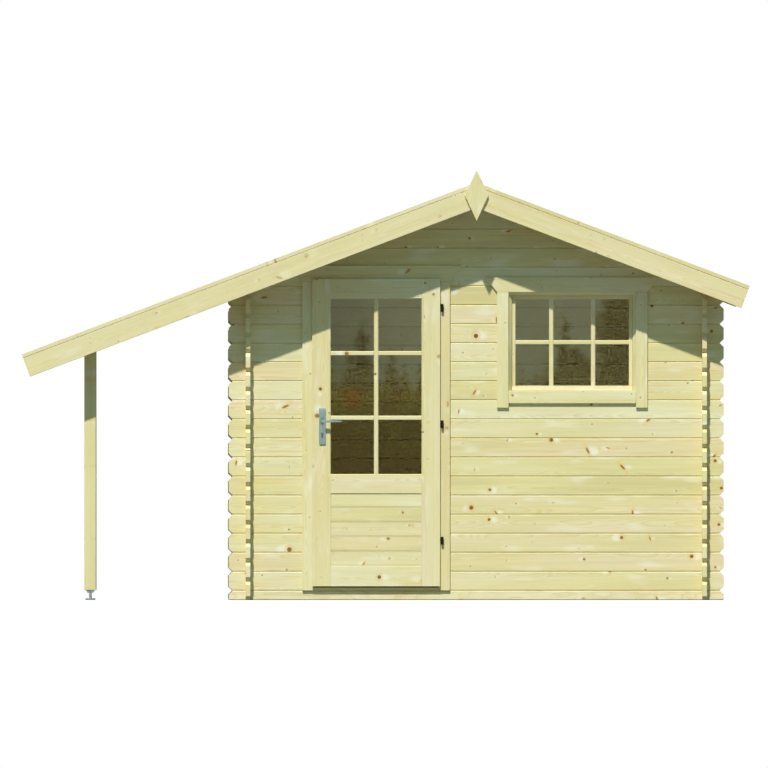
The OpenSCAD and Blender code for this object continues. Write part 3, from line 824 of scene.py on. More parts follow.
def finish_piece(piece: bpy.types.Object, body: str, replaced: Sequence[str] = ()) -> None:
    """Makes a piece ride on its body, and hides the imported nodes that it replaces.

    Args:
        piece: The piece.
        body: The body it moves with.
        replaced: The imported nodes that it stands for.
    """
    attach(piece, body)
    if replaced:
        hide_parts(*replaced)
    LOG.info("%s: %d faces on %s", piece.name, len(piece.data.polygons), body)


def dress(node: str, finish: Finish) -> None:
    """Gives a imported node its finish.

    Args:
        node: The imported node.
        finish: Its finish.
    """
    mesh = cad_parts[node].data
    mesh.materials.clear()
    mesh.materials.append(finish.material())
    LOG.info("%s: %s", node, finish.name)


def blank() -> bmesh.types.BMesh:
    """An empty mesh that can hold the place in the grain.

    Returns:
        The mesh, with the attributes grain and board.
    """
    shape = bmesh.new()
    shape.verts.layers.float_vector.new("grain")
    shape.verts.layers.float.new("board")
    return shape


def islands(shape: bmesh.types.BMesh) -> list[list[bmesh.types.BMVert]]:
    """The separate solids of a mesh, as lists of their corners.

    Args:
        shape: The mesh.

    Returns:
        The corners of each solid.
    """
    left = set(shape.verts)
    found = []
    for first in shape.verts:
        if first not in left:
            continue
        left.discard(first)
        group, edge = [first], [first]
        while edge:
            near = [e.other_vert(v) for v in edge for e in v.link_edges]
            edge = [v for v in dict.fromkeys(near) if v in left]
            left.difference_update(edge)
            group.extend(edge)
        found.append(group)
    return found


def mark_grain(shape: bmesh.types.BMesh, corners: Sequence[bmesh.types.BMVert], ways: Sequence[Vector],
               board: float, along: int | None = None) -> None:
    """Writes the place in the grain on the corners of one solid.

    Args:
        shape: The mesh.
        corners: The corners of the solid.
        ways: Three unit directions square to each other.
        board: Number of the board.
        along: Which of the directions the grain follows, or None for the longest.
    """
    grain, number = shape.verts.layers.float_vector["grain"], shape.verts.layers.float["board"]
    spans = []
    for way in ways:
        reach = [v.co.dot(way) for v in corners]
        spans.append((max(reach) - min(reach), (max(reach) + min(reach)) / 2))
    order = sorted(range(3), key=lambda i: -spans[i][0])
    if along is not None:
        order = [along] + [i for i in order if i != along]
    for v in corners:
        v[grain] = Vector([v.co.dot(ways[i]) - spans[i][1] for i in order])
        v[number] = board


def as_mesh(shape: bmesh.types.BMesh, name: str, finish: Finish, smooth: float | None = None) -> bpy.types.Mesh:
    """Turns a bmesh into a mesh with one finish.

    Args:
        shape: The mesh in the making, freed here.
        name: Name of the mesh.
        finish: Its finish.
        smooth: Least angle in degrees that stays a sharp edge, or None for flat faces.

    Returns:
        The mesh.
    """
    mesh = bpy.data.meshes.new(name)
    shape.to_mesh(mesh)
    shape.free()
    mesh.materials.append(finish.material())
    if smooth is not None:
        mesh.shade_smooth()
        mesh.set_sharp_from_angle(angle=math.radians(smooth))
    return mesh


def ease_edges(shape: bmesh.types.BMesh, width: float, segments: int, least: float = 25.0) -> None:
    """Rounds the edges of the solids in a mesh.

    Args:
        shape: The mesh.
        width: Width of the rounding.
        segments: Steps across the rounding.
        least: Least angle in degrees between two faces for their edge to be rounded.
    """
    sharp = [e for e in shape.edges if len(e.link_faces) == 2 and e.calc_face_angle(0) > math.radians(least)]
    bmesh.ops.bevel(shape, geom=sharp, offset=width, offset_type="OFFSET", segments=segments, profile=0.5,
                    affect="EDGES", clamp_overlap=True)


def merged_copy(node: str) -> bmesh.types.BMesh:
    """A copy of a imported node's mesh whose flat faces are whole again.

    Args:
        node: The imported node.

    Returns:
        The copy, still to be finished.
    """
    shape = blank()
    shape.from_mesh(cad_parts[node].data)
    bmesh.ops.remove_doubles(shape, verts=shape.verts, dist=WELD)
    bmesh.ops.dissolve_limit(shape, angle_limit=math.radians(0.5), verts=shape.verts, edges=shape.edges)
    bmesh.ops.recalc_face_normals(shape, faces=shape.faces)
    return shape


def skin(shape: bmesh.types.BMesh, rings: Sequence[Sequence[bmesh.types.BMVert]]) -> None:
    """Closes a solid over rings of corners that follow each other.

    Args:
        shape: The mesh to add to.
        rings: Rings of as many corners each, from one end of the solid to the other.
    """
    count = len(rings[0])
    faces = [shape.faces.new(rings[0]), shape.faces.new(rings[-1])]
    for near, far in zip(rings, rings[1:]):
        faces += [shape.faces.new((near[i], near[(i + 1) % count], far[(i + 1) % count], far[i])) for i in range(count)]
    bmesh.ops.recalc_face_normals(shape, faces=faces)


def loft(shape: bmesh.types.BMesh, rings: Sequence[tuple[Outline, float]], ways: tuple[Vector, Vector, Vector],
         origin: Vector = Vector()) -> list[bmesh.types.BMVert]:
    """Adds a solid drawn through outlines that all have the same number of corners.

    Args:
        shape: The mesh to add to.
        rings: Each outline and how far along the third direction it lies.
        ways: Two directions of the outlines and the direction they follow each other in.
        origin: Where the directions start.

    Returns:
        The corners of the solid.
    """
    u, v, w = ways
    corners = [[shape.verts.new(origin + a * u + b * v + t * w) for a, b in outline] for outline, t in rings]
    skin(shape, corners)
    return [corner for ring in corners for corner in ring]


def slab(shape: bmesh.types.BMesh, outline: Outline, ways: tuple[Vector, Vector, Vector], start: float,
         end: float, origin: Vector = Vector()) -> list[bmesh.types.BMVert]:
    """Adds a solid with one outline from a start to an end along the third direction, and gives its corners."""
    return loft(shape, [(outline, start), (outline, end)], ways, origin)


def rectangle(a0: float, b0: float, a1: float, b1: float) -> Outline:
    """The outline of a rectangle."""
    return [(a0, b0), (a1, b0), (a1, b1), (a0, b1)]


def disc(radius: float, count: int = 12, inner: float = 1.0) -> Outline:
    """The outline of a circle, or of a star whose every other corner lies further in."""
    return [(radius * (inner if i % 2 else 1.0) * math.cos(2 * math.pi * i / count),
             radius * (inner if i % 2 else 1.0) * math.sin(2 * math.pi * i / count)) for i in range(count)]


class NodesTree:
    """A geometry node tree with named inputs that ends in plain geometry with a material."""

    def __init__(self, name: str, inputs: Sequence[tuple[str, str]]) -> None:
        """Starts the tree.

        Args:
            name: Name of the tree.
            inputs: Names and socket types of its inputs, after the geometry.
        """
        self.tree = bpy.data.node_groups.new(name, "GeometryNodeTree")
        face = self.tree.interface
        face.new_socket("Geometry", in_out="INPUT", socket_type="NodeSocketGeometry")
        self.keys = {key: face.new_socket(key, in_out="INPUT", socket_type=kind).identifier for key, kind in inputs}
        face.new_socket("Geometry", in_out="OUTPUT", socket_type="NodeSocketGeometry")
        self.graph = Graph(self.tree)
        self.given = self.graph.add("NodeGroupInput").outputs

    def close(self, instances: Wire) -> None:
        """Ends the tree: instances become plain geometry in the material that the tree is given.

        Args:
            instances: The instances to end with.
        """
        g = self.graph
        plain = g.out("GeometryNodeRealizeInstances", {"Geometry": instances})
        result = g.out("GeometryNodeSetMaterial", {"Geometry": plain, "Material": self.given["Material"]})
        g.add("NodeGroupOutput", {0: result})

    def apply(self, piece: bpy.types.Object, values: Mapping[str, Any]) -> None:
        """Runs the tree on a piece and keeps the result as its plain mesh.

        Args:
            piece: The piece, which starts from the geometry that the tree repeats.
            values: What each named input is.
        """
        modifier = piece.modifiers.new(self.tree.name, "NODES")
        modifier.node_group = self.tree
        for key, value in values.items():
            modifier[self.keys[key]] = value
        mesh = evaluated(piece)
        piece.modifiers.clear()
        piece.data = mesh
        mesh.name = piece.name


class BoardRow(NodesTree):
    """Repeats one board along a line, with a number of its own for each and a little play in how they lie.

    Attributes:
        numbers: Highest number that a board may get.
    """

    numbers = 900.0

    def __init__(self) -> None:
        """Builds the tree."""
        super().__init__("board_row", [("Count", "NodeSocketInt"), ("Step", "NodeSocketVector"),
                                       ("Play", "NodeSocketVector"), ("Seed", "NodeSocketInt"),
                                       ("Material", "NodeSocketMaterial")])
        g, given = self.graph, self.given
        line = g.out("GeometryNodeMeshLine", {"Count": given["Count"], "Offset": given["Step"]}, mode="OFFSET")
        boards = g.out("GeometryNodeInstanceOnPoints", {"Points": line, "Instance": given["Geometry"]})
        play = g.out("FunctionNodeRandomValue", {0: (0.0, 0.0, 0.0), 1: given["Play"], "Seed": given["Seed"]},
                     data_type="FLOAT_VECTOR")
        laid = g.out("GeometryNodeTranslateInstances", {"Instances": boards, "Translation": play})
        number = g.out("FunctionNodeRandomValue", {2: 0.0, 3: self.numbers, "Seed": given["Seed"]}, 1,
                       data_type="FLOAT")
        self.close(g.out("GeometryNodeStoreNamedAttribute", {"Geometry": laid, "Name": "board", "Value": number},
                         data_type="FLOAT", domain="INSTANCE"))

    def lay(self, shape: bmesh.types.BMesh, name: str, count: int, step: Vector, play: Vector, seed: int,
            finish: Finish, body: str, slot: Slot, replaced: str) -> None:
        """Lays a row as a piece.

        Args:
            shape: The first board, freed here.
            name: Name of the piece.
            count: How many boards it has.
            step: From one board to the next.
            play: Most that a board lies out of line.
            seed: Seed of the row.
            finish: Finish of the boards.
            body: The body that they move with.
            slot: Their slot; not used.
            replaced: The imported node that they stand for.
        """
        piece = new_object(name, as_mesh(shape, "board", PINE))
        self.apply(piece, {"Count": count, "Step": step, "Play": play, "Seed": seed, "Material": finish.material()})
        finish_piece(piece, body, [replaced])

    def apply(self, piece: bpy.types.Object, values: Mapping[str, Any]) -> None:
        """Runs the tree once the board to repeat has lost its own number, so that each copy gets another."""
        piece.data.attributes.remove(piece.data.attributes["board"])
        super().apply(piece, values)


@dataclass
class LogWalls:
    """The walls and gables of interlocking logs, and the half logs under the front and back.

    Attributes:
        course: Height of a course of logs.
        painted_groove_shade: Share of their brightness that the joints of the back wall keep indoors, as painted shade.
        tongue: Half the width and height of a loose tongue.
        tongue_arris: Width of its eased edges.
        set_in: How far the tongues end before the ends of the logs.
        lengthways: Nodes whose logs run from side to side.
        sideways: Nodes whose logs run from front to back.
    """

    course: float = 0.1154
    painted_groove_shade: float = 0.25
    tongue: float = 0.004
    tongue_arris: float = 0.0005
    set_in: float = 0.16
    lengthways: tuple[str, ...] = ("front_wall_left", "front_wall_middle", "front_wall_right", "front_wall_lower",
                                   "front_gable", "back_wall", "back_gable")
    sideways: tuple[str, ...] = ("left_wall", "right_wall")

    def dress(self) -> None:
        """Gives every log its own grain."""
        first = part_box("base_logs")[1].z
        for number, node in enumerate(self.lengthways):
            dress(node, SawnPine(f"pine_{node}", centre=(0.0, centre(node)[1], first + self.course / 2),
                                 course=self.course, seed=FirstBoard.LOGS * (number + 1),
                                 groove_shade=self.painted_groove_shade if node == "back_wall" else 0.0))
        for number, node in enumerate(self.sideways):
            dress(node, SawnPine(f"pine_{node}", run=Run.FRONT_TO_BACK, course=self.course,
                                 centre=(centre(node)[0], 0.0, self.course / 2),
                                 seed=FirstBoard.SIDE_LOGS + FirstBoard.LOGS * number))
        self.tongues(first)
        lo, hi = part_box("base_logs")
        dress("base_logs", SawnPine("pine_base_logs", centre=(0.0, 0.0, centre("base_logs")[2]),
                                    seed=FirstBoard.BASE_LOGS, split=(0.0, 1.0, 0.0), spread=(hi.y - lo.y) / 2))

    def tongues(self, first: float) -> None:
        """Loose tongues in the joints of the back wall over its half log, which keep daylight out of the room.

        Args:
            first: Height at which the logs over the half log begin.
        """
        lo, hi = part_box("back_wall")
        middle = Y * (lo.y + hi.y) / 2
        shape = blank()
        for number in range(1, round((hi.z - first) / self.course)):
            corners = slab(shape, rectangle(-self.tongue, -self.tongue, self.tongue, self.tongue), (Y, Z, X),
                           lo.x + self.set_in, hi.x - self.set_in, middle + Z * (first + number * self.course))
            mark_grain(shape, corners, (X, Y, Z), FirstBoard.TONGUES + number, 0)
        ease_edges(shape, self.tongue_arris, 1)
        place_piece("back_wall_tongues", as_mesh(shape, "tongues", PINE), HOUSE)


@dataclass
class Timbers:
    """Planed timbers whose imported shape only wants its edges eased, and sawn ones that only want a finish.

    Attributes:
        roof: The roof, whose slopes the barge boards follow.
        arris: Width of an eased edge.
        board_step: Between the numbers of the first boards of two nodes.
        sawn_step: The same for sawn timbers.
    """

    roof: "Roof"
    arris: float = 0.002
    board_step: float = 41.0
    sawn_step: float = 40.0

    def build(self) -> None:
        """Eases and dresses each timber node."""
        pieces = [(f"{end}_{name}_barge_board", Slot.BOARD, (*self.roof.ways(side), Y))
                  for end in ("front", "back") for side, name in SIDES]
        pieces += [(node, slot, (X, Y, Z)) for slot, nodes in (
            (Slot.BOARD, ("eaves_boards", "finial")), (Slot.BEAM, ("posts", "lean_to_beam")),
            (Slot.JOINERY, ("door_frame", "door_threshold", "door_trims", "window_frame", "window_sash",
                            "window_weather_bar", "window_trims"))) for node in nodes]
        for number, (node, slot, ways) in enumerate(pieces):
            self.eased(node, ways, FirstBoard.EASED + self.board_step * number)
        for number, node in enumerate(("ridge_purlin", "left_purlin", "right_purlin", "floor_bearers")):
            lo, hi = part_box(node)
            dress(node, SawnPine(f"pine_{node}", run=Run.FRONT_TO_BACK, centre=centre(node),
                                 seed=FirstBoard.PURLINS + self.sawn_step * number, split=(1.0, 0.0, 0.0),
                                 spread=(hi.x - lo.x) / (BEARERS - 1) if node == "floor_bearers" else 0.0))

    def eased(self, node: str, ways: Sequence[Vector], seed: float) -> None:
        """Stands an eased copy in for a node.

        Args:
            node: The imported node.
            ways: The directions that its timbers follow.
            seed: Number of its first board.
        """
        shape = merged_copy(node)
        for number, corners in enumerate(islands(shape)):
            mark_grain(shape, corners, ways, seed + number)
        ease_edges(shape, self.arris, 2)
        # the weather bar gets painted shade on its sunlit sloping top
        finish = SILL_PINE if node == "window_weather_bar" else PINE
        place_piece(f"{node}_timber", as_mesh(shape, node, finish), HOUSE, [node])


@dataclass
class Roof:
    """Roof boards that run down both slopes, laid side by side from the front to the back.

    Attributes:
        row: The tree that repeats boards.
        boards: Boards on each slope.
        gap: Gap between boards.
        lower_v: Chamfer at the joints underneath.
        edge_v: Chamfer under the roof's front and back edges.
        upper_v: Chamfer at the joints on top.
        tongue: How far a tongue stands out.
        tongue_t: Thickness of a tongue.
        joint_in: From the left edge of the roof to the butt joint of the front board.
        joint_gap: Gap at that joint.
        sunk: Most that a board lies lower than its neighbours.
        arris: Width of the eased edges of the outer boards.
        least: Least angle in degrees that is eased there.
    """

    row: BoardRow
    boards: int = 30
    gap: float = 0.0006
    lower_v: float = 0.004
    edge_v: float = 0.004
    upper_v: float = 0.0012
    tongue: float = 0.006
    tongue_t: float = 0.006
    joint_in: float = 0.331
    joint_gap: float = 0.0012
    sunk: float = 0.0004
    arris: float = 0.001
    least: float = 60.0

    def __post_init__(self) -> None:
        """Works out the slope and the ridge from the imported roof."""
        left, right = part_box("left_roof"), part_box("right_roof")
        size_l, size_r = left[1] - left[0], right[1] - right[0]
        self.slope = math.atan2(size_l.z - size_r.z, size_l.x - size_r.x)
        self.thick = (size_r.z - size_r.x * math.tan(self.slope)) / math.cos(self.slope)
        self.ridge = {-1: Vector((left[1].x, 0, left[1].z)), 1: Vector((right[0].x, 0, right[1].z))}
        self.length = {-1: size_l.x / math.cos(self.slope), 1: size_r.x / math.cos(self.slope)}
        self.front, self.back = left[0].y, left[1].y
        self.width = (self.back - self.front) / self.boards

    def ways(self, side: float) -> tuple[Vector, Vector]:
        """The directions down a slope, -1 for the left one and 1 for the right one, and out of it."""
        return (Vector((side * math.cos(self.slope), 0, -math.sin(self.slope))),
                Vector((side * math.sin(self.slope), 0, math.cos(self.slope))))

    def section(self, first: bool, last: bool) -> Outline:
        """Section of a board: place from its front edge, and height under its upper face.

        Args:
            first: Whether its front edge is plain.
            last: Whether its back edge is plain.

        Returns:
            The outline.
        """
        w, t, v, u = self.width - self.gap, self.thick, self.lower_v, self.upper_v
        low, high = (t + self.tongue_t) / 2, (t - self.tongue_t) / 2
        play = self.gap / 2
        tongue = [] if last else [(w, high), (w + self.tongue, high + play), (w + self.tongue, low - play), (w, low)]
        groove = [] if first else [(0.0, low), (self.tongue + play, low), (self.tongue + play, high), (0.0, high)]
        e = self.edge_v
        front = [(e, t), (0.0, t - e), (0.0, 0.0)] if first else [(v, t), (0.0, t - v), *groove, (0.0, u), (u, 0.0)]
        back = [(w, 0.0), (w, t - e), (w - e, t)] if last else [(w - u, 0.0), (w, u), *tongue, (w, t - v), (w - v, t)]
        return [(a, -b) for a, b in front + back]

    def board(self, shape: bmesh.types.BMesh, side: int, number: int, start: float, end: float, seed: float) -> None:
        """Adds one board, whose ridge end is cut upright.

        Args:
            shape: The mesh to add to.
            side: -1 for the left slope and 1 for the right.
            number: Which board from the front.
            start: Where it begins down the slope.
            end: Where it ends.
            seed: Number of the board.
        """
        down, up = self.ways(side)
        origin = self.ridge[side] + Y * (self.front + number * self.width)
        corners = slab(shape, self.section(number == 0, number == self.boards - 1), (Y, up, down), start, end, origin)
        if start == 0.0:
            for v in corners:
                away = v.co - origin
                if away.dot(down) < WELD:
                    v.co += down * (-away.dot(up) * math.tan(self.slope))
        mark_grain(shape, corners, (down, Y, up), seed, 0)

    def build(self) -> None:
        """Lays both slopes: a row of boards between a first and a last one, whose outer edges are plain."""
        for side, name in SIDES:
            end = self.length[side]
            shape = blank()
            self.board(shape, side, 1, 0.0, end, 0.0)
            self.row.lay(shape, f"{name}_roof_boards", self.boards - 2, Y * self.width, self.ways(side)[1] * -self.sunk,
                         Seed.ROOFS + side, ROOF_PINE, HOUSE, Slot.BOARD, f"{name}_roof")
            shape = blank()
            joint = end - self.joint_in / math.cos(self.slope)
            lengths = [(0.0, joint), (joint + self.joint_gap, end)] if side < 0 else [(0.0, end)]
            for number, (start, stop) in enumerate(lengths):
                self.board(shape, side, 0, start, stop, FirstBoard.ROOF_EDGES + 1 + side + number)
            self.board(shape, side, self.boards - 1, 0.0, end, FirstBoard.ROOF_EDGES + 3 + side)
            ease_edges(shape, self.arris, 1, self.least)
            place_piece(f"{name}_roof_edge_boards", as_mesh(shape, f"{name}_edge", ROOF_PINE), HOUSE)


@dataclass
class Floor:
    """Floor boards that run across the bearers.

    Attributes:
        row: The tree that repeats boards.
        boards: How many boards there are.
        gap: Gap between boards.
        v: Chamfer at the joints.
        sunk: Most that a board lies lower than its neighbours.
    """

    row: BoardRow
    boards: int = 24
    gap: float = 0.0008
    v: float = 0.0015
    sunk: float = 0.0002

    def build(self) -> None:
        """Lays the floor."""
        lo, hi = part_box("floor")
        width = (hi.y - lo.y) / self.boards
        v, w, t = self.v, width - self.gap, hi.z - lo.z
        outline = [(lo.y, lo.z), (lo.y + w, lo.z), (lo.y + w, lo.z + t - v), (lo.y + w - v, hi.z), (lo.y + v, hi.z),
                   (lo.y, lo.z + t - v)]
        shape = blank()
        mark_grain(shape, slab(shape, outline, (Y, Z, X), lo.x, hi.x), (X, Y, Z), 0.0, 0)
        self.row.lay(shape, "floor_boards", self.boards, Y * width, Z * -self.sunk, Seed.FLOOR, PINE, HOUSE,
                     Slot.BOARD, "floor")


class ScrewTree(NodesTree):
    """Sets one screw head on every marked point, square to its face and turned by chance.

    Attributes:
        head: The outlines of a head from its foot to the floor of its socket: size as a share of the radius, how
            far in every other corner lies, and height over the wood.
    """

    head = ((1.0, 1.0, -0.001), (1.0, 1.0, 0.0001), (0.9, 1.0, 0.0003), (0.5, 0.45, 0.0003), (0.4, 0.45, -0.0007))

    def __init__(self) -> None:
        """Builds the tree."""
        super().__init__("screw_heads", [("Seed", "NodeSocketInt"), ("Material", "NodeSocketMaterial")])
        g, given = self.graph, self.given
        place = g.out("GeometryNodeInputNamedAttribute", {"Name": "place"}, data_type="FLOAT")
        out = g.out("GeometryNodeInputNamedAttribute", {"Name": "out"}, data_type="FLOAT_VECTOR")
        both = g.add("GeometryNodeSeparateGeometry", {"Geometry": given["Geometry"], "Selection": place},
                     domain="POINT").outputs
        upright = g.out("FunctionNodeAlignRotationToVector", {"Vector": out}, axis="Z")
        turn = g.out("FunctionNodeRandomValue", {2: 0.0, 3: math.tau, "Seed": given["Seed"]}, 1, data_type="FLOAT")
        spin = g.out("FunctionNodeAxisAngleToRotation", {"Axis": (0.0, 0.0, 1.0), "Angle": turn})
        turned = g.out("FunctionNodeRotateRotation", {0: upright, 1: spin}, rotation_space="LOCAL")
        self.close(g.out("GeometryNodeInstanceOnPoints", {"Points": both[0], "Instance": both[1], "Rotation": turned}))

    def drive(self, name: str, spots: Sequence[tuple[Vector, Vector]], radius: float, seed: int) -> None:
        """Drives steel screws into the house.

        Args:
            name: Name of the piece.
            spots: Where each screw sits, and the way out of the face.
            radius: Radius of a head.
            seed: Seed of the turns.
        """
        shape = bmesh.new()
        place, out = shape.verts.layers.float.new("place"), shape.verts.layers.float_vector.new("out")
        loft(shape, [(disc(radius * share, inner=inner), z) for share, inner, z in self.head], (X, Y, Z))
        for spot, way in spots:
            point = shape.verts.new(spot)
            point[place], point[out] = 1.0, way
        piece = new_object(name, as_mesh(shape, name, STEEL))
        self.apply(piece, {"Seed": seed, "Material": STEEL.material()})
        finish_piece(piece, HOUSE)


@dataclass
class Fasteners:
    """Screws that show: in the barge boards, the roof and the floor.

    Attributes:
        roof: The roof that they hold.
        radius: Radius of a head.
        barge_shares: How far down a barge board its screws sit, as shares of its depth.
        ridge_aside: How far from the middle of the ridge purlin the screws over it sit.
        roof_apart: How far from the middle of a roof board its screws sit.
        floor_apart: The same for a floor board.
        bearer_in: How far the outer bearers' middles lie inside their ends.
    """

    roof: Roof
    radius: float = 0.003
    barge_shares: tuple[float, float] = (0.3, 0.62)
    ridge_aside: float = 0.014
    roof_apart: float = 0.028
    floor_apart: float = 0.03
    bearer_in: float = 0.02

    def build(self) -> None:
        """Drives all screws."""
        tree = ScrewTree()
        tree.drive("barge_board_screws", self.barge_boards(), self.radius, Seed.BARGE_SCREWS)
        tree.drive("roof_screws", self.roof_boards(), self.radius, Seed.ROOF_SCREWS)
        tree.drive("floor_screws", self.floor_boards(), self.radius, Seed.FLOOR_SCREWS)

    def bearers(self) -> list[float]:
        """Middles of the timbers that carry the roof, apart from the ridge purlin."""
        return [centre(node)[0] for node in ("lean_to_beam", "left_purlin", "right_purlin")]

    def barge_boards(self) -> list[tuple[Vector, Vector]]:
        """Two screws where each barge board crosses a timber.

        Returns:
            Where each screw sits, and the way out of the face.
        """
        spots = []
        slope = self.roof.slope
        for end, face in (("front", 0), ("back", 1)):
            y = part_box(f"{end}_left_barge_board")[face].y
            for x in self.bearers():
                lo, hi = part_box(f"{end}_{'left' if x < 0 else 'right'}_barge_board")
                deep = (hi.z - lo.z - (hi.x - lo.x) * math.tan(slope)) * math.cos(slope) ** 2
                top = hi.z - abs(x) * math.tan(slope)
                out = Y * math.copysign(1.0, y)
                spots += [(Vector((x, y, top - share * deep)), out) for share in self.barge_shares]
        return spots

    def roof_boards(self) -> list[tuple[Vector, Vector]]:
        """Two screws in each roof board over each timber under it.

        Returns:
            Where each screw sits, and the way out of the face.
        """
        spots = []
        walls = [centre(node)[0] for node in LogWalls.sideways]
        for x in [*self.bearers(), -self.ridge_aside, self.ridge_aside, *walls]:
            side = math.copysign(1.0, x)
            up = self.roof.ways(side)[1]
            top = self.roof.ridge[int(side)].z - abs(x) * math.tan(self.roof.slope)
            for number in range(self.roof.boards):
                middle = self.roof.front + (number + 0.5) * self.roof.width
                spots += [(Vector((x, middle + a, top)), up) for a in (-self.roof_apart, self.roof_apart)]
        return spots

    def floor_boards(self) -> list[tuple[Vector, Vector]]:
        """Two screws in each floor board over each bearer.

        Returns:
            Where each screw sits, and the way out of the face.
        """
        lo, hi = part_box("floor")
        low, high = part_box("floor_bearers")
        width = (hi.y - lo.y) / Floor.boards
        span = high.x - low.x - 2 * self.bearer_in
        lines = [low.x + self.bearer_in + span * share / (BEARERS - 1) for share in range(BEARERS)]
        return [(Vector((x, lo.y + (number + 0.5) * width + a, hi.z)), Z) for x in lines
                for number in range(Floor.boards) for a in (-self.floor_apart, self.floor_apart)]


@dataclass
class Lock:
    """The lock of the door: a profile cylinder with its key slot, and the plates in the edges of leaf and jamb.

    Attributes:
        below: How far the cylinder lies under the lever.
        plug: Radius of the round part of the cylinder.
        foot: Half the width of its lower part.
        drop: From the middle of the round part to the lower end.
        proud: How far the cylinder stands out of the handle plates.
        plate: Width and height of the plates in the edges.
        plate_t: How deep those plates sit.
        plate_rise: How far over the cylinder their middles lie.
        flush: How far those plates stand out of the wood.
        run_gap: Gap between the body of the leaf and the jamb.
        count: Corners of the cylinder's outline.
        round_from: Sine of the turn at which its round part gives way to the lower part.
        plate_count: Corners of a plate's outline.
        slot: Half the width and half the height of the key slot, and its depth.
    """

    below: float = 0.077
    plug: float = 0.0085
    foot: float = 0.005
    drop: float = 0.024
    proud: float = 0.0012
    plate: tuple[float, float] = (0.018, 0.235)
    plate_t: float = 0.002
    plate_rise: float = 0.03
    flush: float = 0.0001
    run_gap: float = 0.006
    count: int = 24
    round_from: float = -0.8
    plate_count: int = 20
    slot: tuple[float, float, float] = (0.0009, 0.0045, 0.004)

    def middle(self) -> Vector:
        """Middle of the round part of the cylinder, in the plane of the wall."""
        return Vector((centre("handle_plates")[0], 0, centre("door_lever")[2] - self.below))

    @staticmethod
    def turns(count: int) -> list[float]:
        """Angles of the corners of an outline with a side at the top."""
        return [2 * math.pi * (i + 0.5) / count for i in range(count)]

    def outline(self, play: float = 0.0) -> Outline:
        """Outline of the cylinder, or of its hole with some play all round."""
        plug, foot, drop = self.plug + play, self.foot + play, self.drop + play
        return [(plug * math.cos(t), plug * math.sin(t)) if math.sin(t) > self.round_from
                else (math.copysign(foot, math.cos(t)), -drop) for t in self.turns(self.count)]

    def build(self) -> None:
        """Builds the cylinder and both plates."""
        lo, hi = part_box("handle_plates")
        middle = self.middle()
        self.cylinder(middle, lo.y, hi.y)
        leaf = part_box("door_leaf")
        across = (leaf[0].y + Door.lip + leaf[1].y) / 2
        z = middle.z + self.plate_rise
        self.edge_plate("lock_face_plate", Vector((leaf[0].x + Door.lip_side, across, z)), -X, DOOR)
        gap = Door.lip_side - self.run_gap
        self.edge_plate("lock_strike_plate", Vector((leaf[0].x + gap, across, z)), X, HOUSE)

    def cylinder(self, middle: Vector, front: float, back: float) -> None:
        """Builds the cylinder, whose slot is open at both faces.

        Args:
            middle: Middle of its round part, in the plane of the wall.
            front: Front of the outer handle plate.
            back: Back of the inner one.
        """
        shape = bmesh.new()
        body = self.outline()
        wide, tall, deep = self.slot
        slot = [(math.copysign(wide, math.cos(t)), tall * math.sin(t)) for t in self.turns(self.count)]
        depth = back - front + 2 * self.proud
        loft(shape, [(slot, deep), (slot, 0.0), (body, 0.0), (body, depth), (slot, depth), (slot, depth - deep)],
             (X, Z, Y), middle + Y * (front - self.proud))
        bmesh.ops.remove_doubles(shape, verts=shape.verts, dist=WELD)
        place_piece("lock_cylinder", as_mesh(shape, "lock_cylinder", LOCK_STEEL), DOOR)

    def edge_plate(self, name: str, middle: Vector, way: Vector, body: str) -> None:
        """Lets a plate with round ends into an edge.

        Args:
            name: Name of the piece.
            middle: Middle of the plate, on the wood.
            way: The way out of the wood.
            body: The body that it moves with.
        """
        shape = bmesh.new()
        half, tall = self.plate[0] / 2, self.plate[1] / 2
        outline = [(half * math.cos(t), half * math.sin(t) + math.copysign(tall - half, math.sin(t)))
                   for t in self.turns(self.plate_count)]
        slab(shape, outline, (Y, Z, way), -self.plate_t, self.flush, middle)
        place_piece(name, as_mesh(shape, name, STEEL), body)


@dataclass
class Fittings:
    """Metal fittings, with rounded edges.

    Attributes:
        round_over: Width of a rounded edge.
        least: Least angle in degrees that is rounded.
        smooth: Least angle in degrees that stays a sharp edge.
        bore: Radius of the hole in the handle plates round the neck of the lever.
    """

    round_over: float = 0.0012
    least: float = 40.0
    smooth: float = 35.0
    bore: float = 0.0088

    def build(self) -> None:
        """Rounds and dresses the fittings."""
        for node, body, slot, finish in (
                ("handle_plates", DOOR, Slot.STEEL, STEEL), ("door_lever", LEVER, Slot.STEEL, STEEL),
                ("hinge_frame_halves", HOUSE, Slot.HINGE, DARK), ("hinge_leaf_halves", DOOR, Slot.HINGE, DARK),
                ("post_feet", HOUSE, Slot.ZINC, ZINC)):
            shape = merged_copy(node)
            if node == "handle_plates":
                self.widen_bore(shape)
            ease_edges(shape, self.round_over, 2, self.least)
            place_piece(f"{node}_metal", as_mesh(shape, node, finish, self.smooth), body, [node])

    def widen_bore(self, shape: bmesh.types.BMesh) -> None:
        """Gives the neck of the lever room to turn among the flat facets of the hole.

        Args:
            shape: The handle plates.
        """
        middle = Vector((centre("handle_plates")[0], 0, centre("door_lever")[2]))
        for v in shape.verts:
            away = Vector((v.co.x, 0, v.co.z)) - middle
            if away.length < self.bore:
                v.co += away.normalized() * (self.bore - away.length)


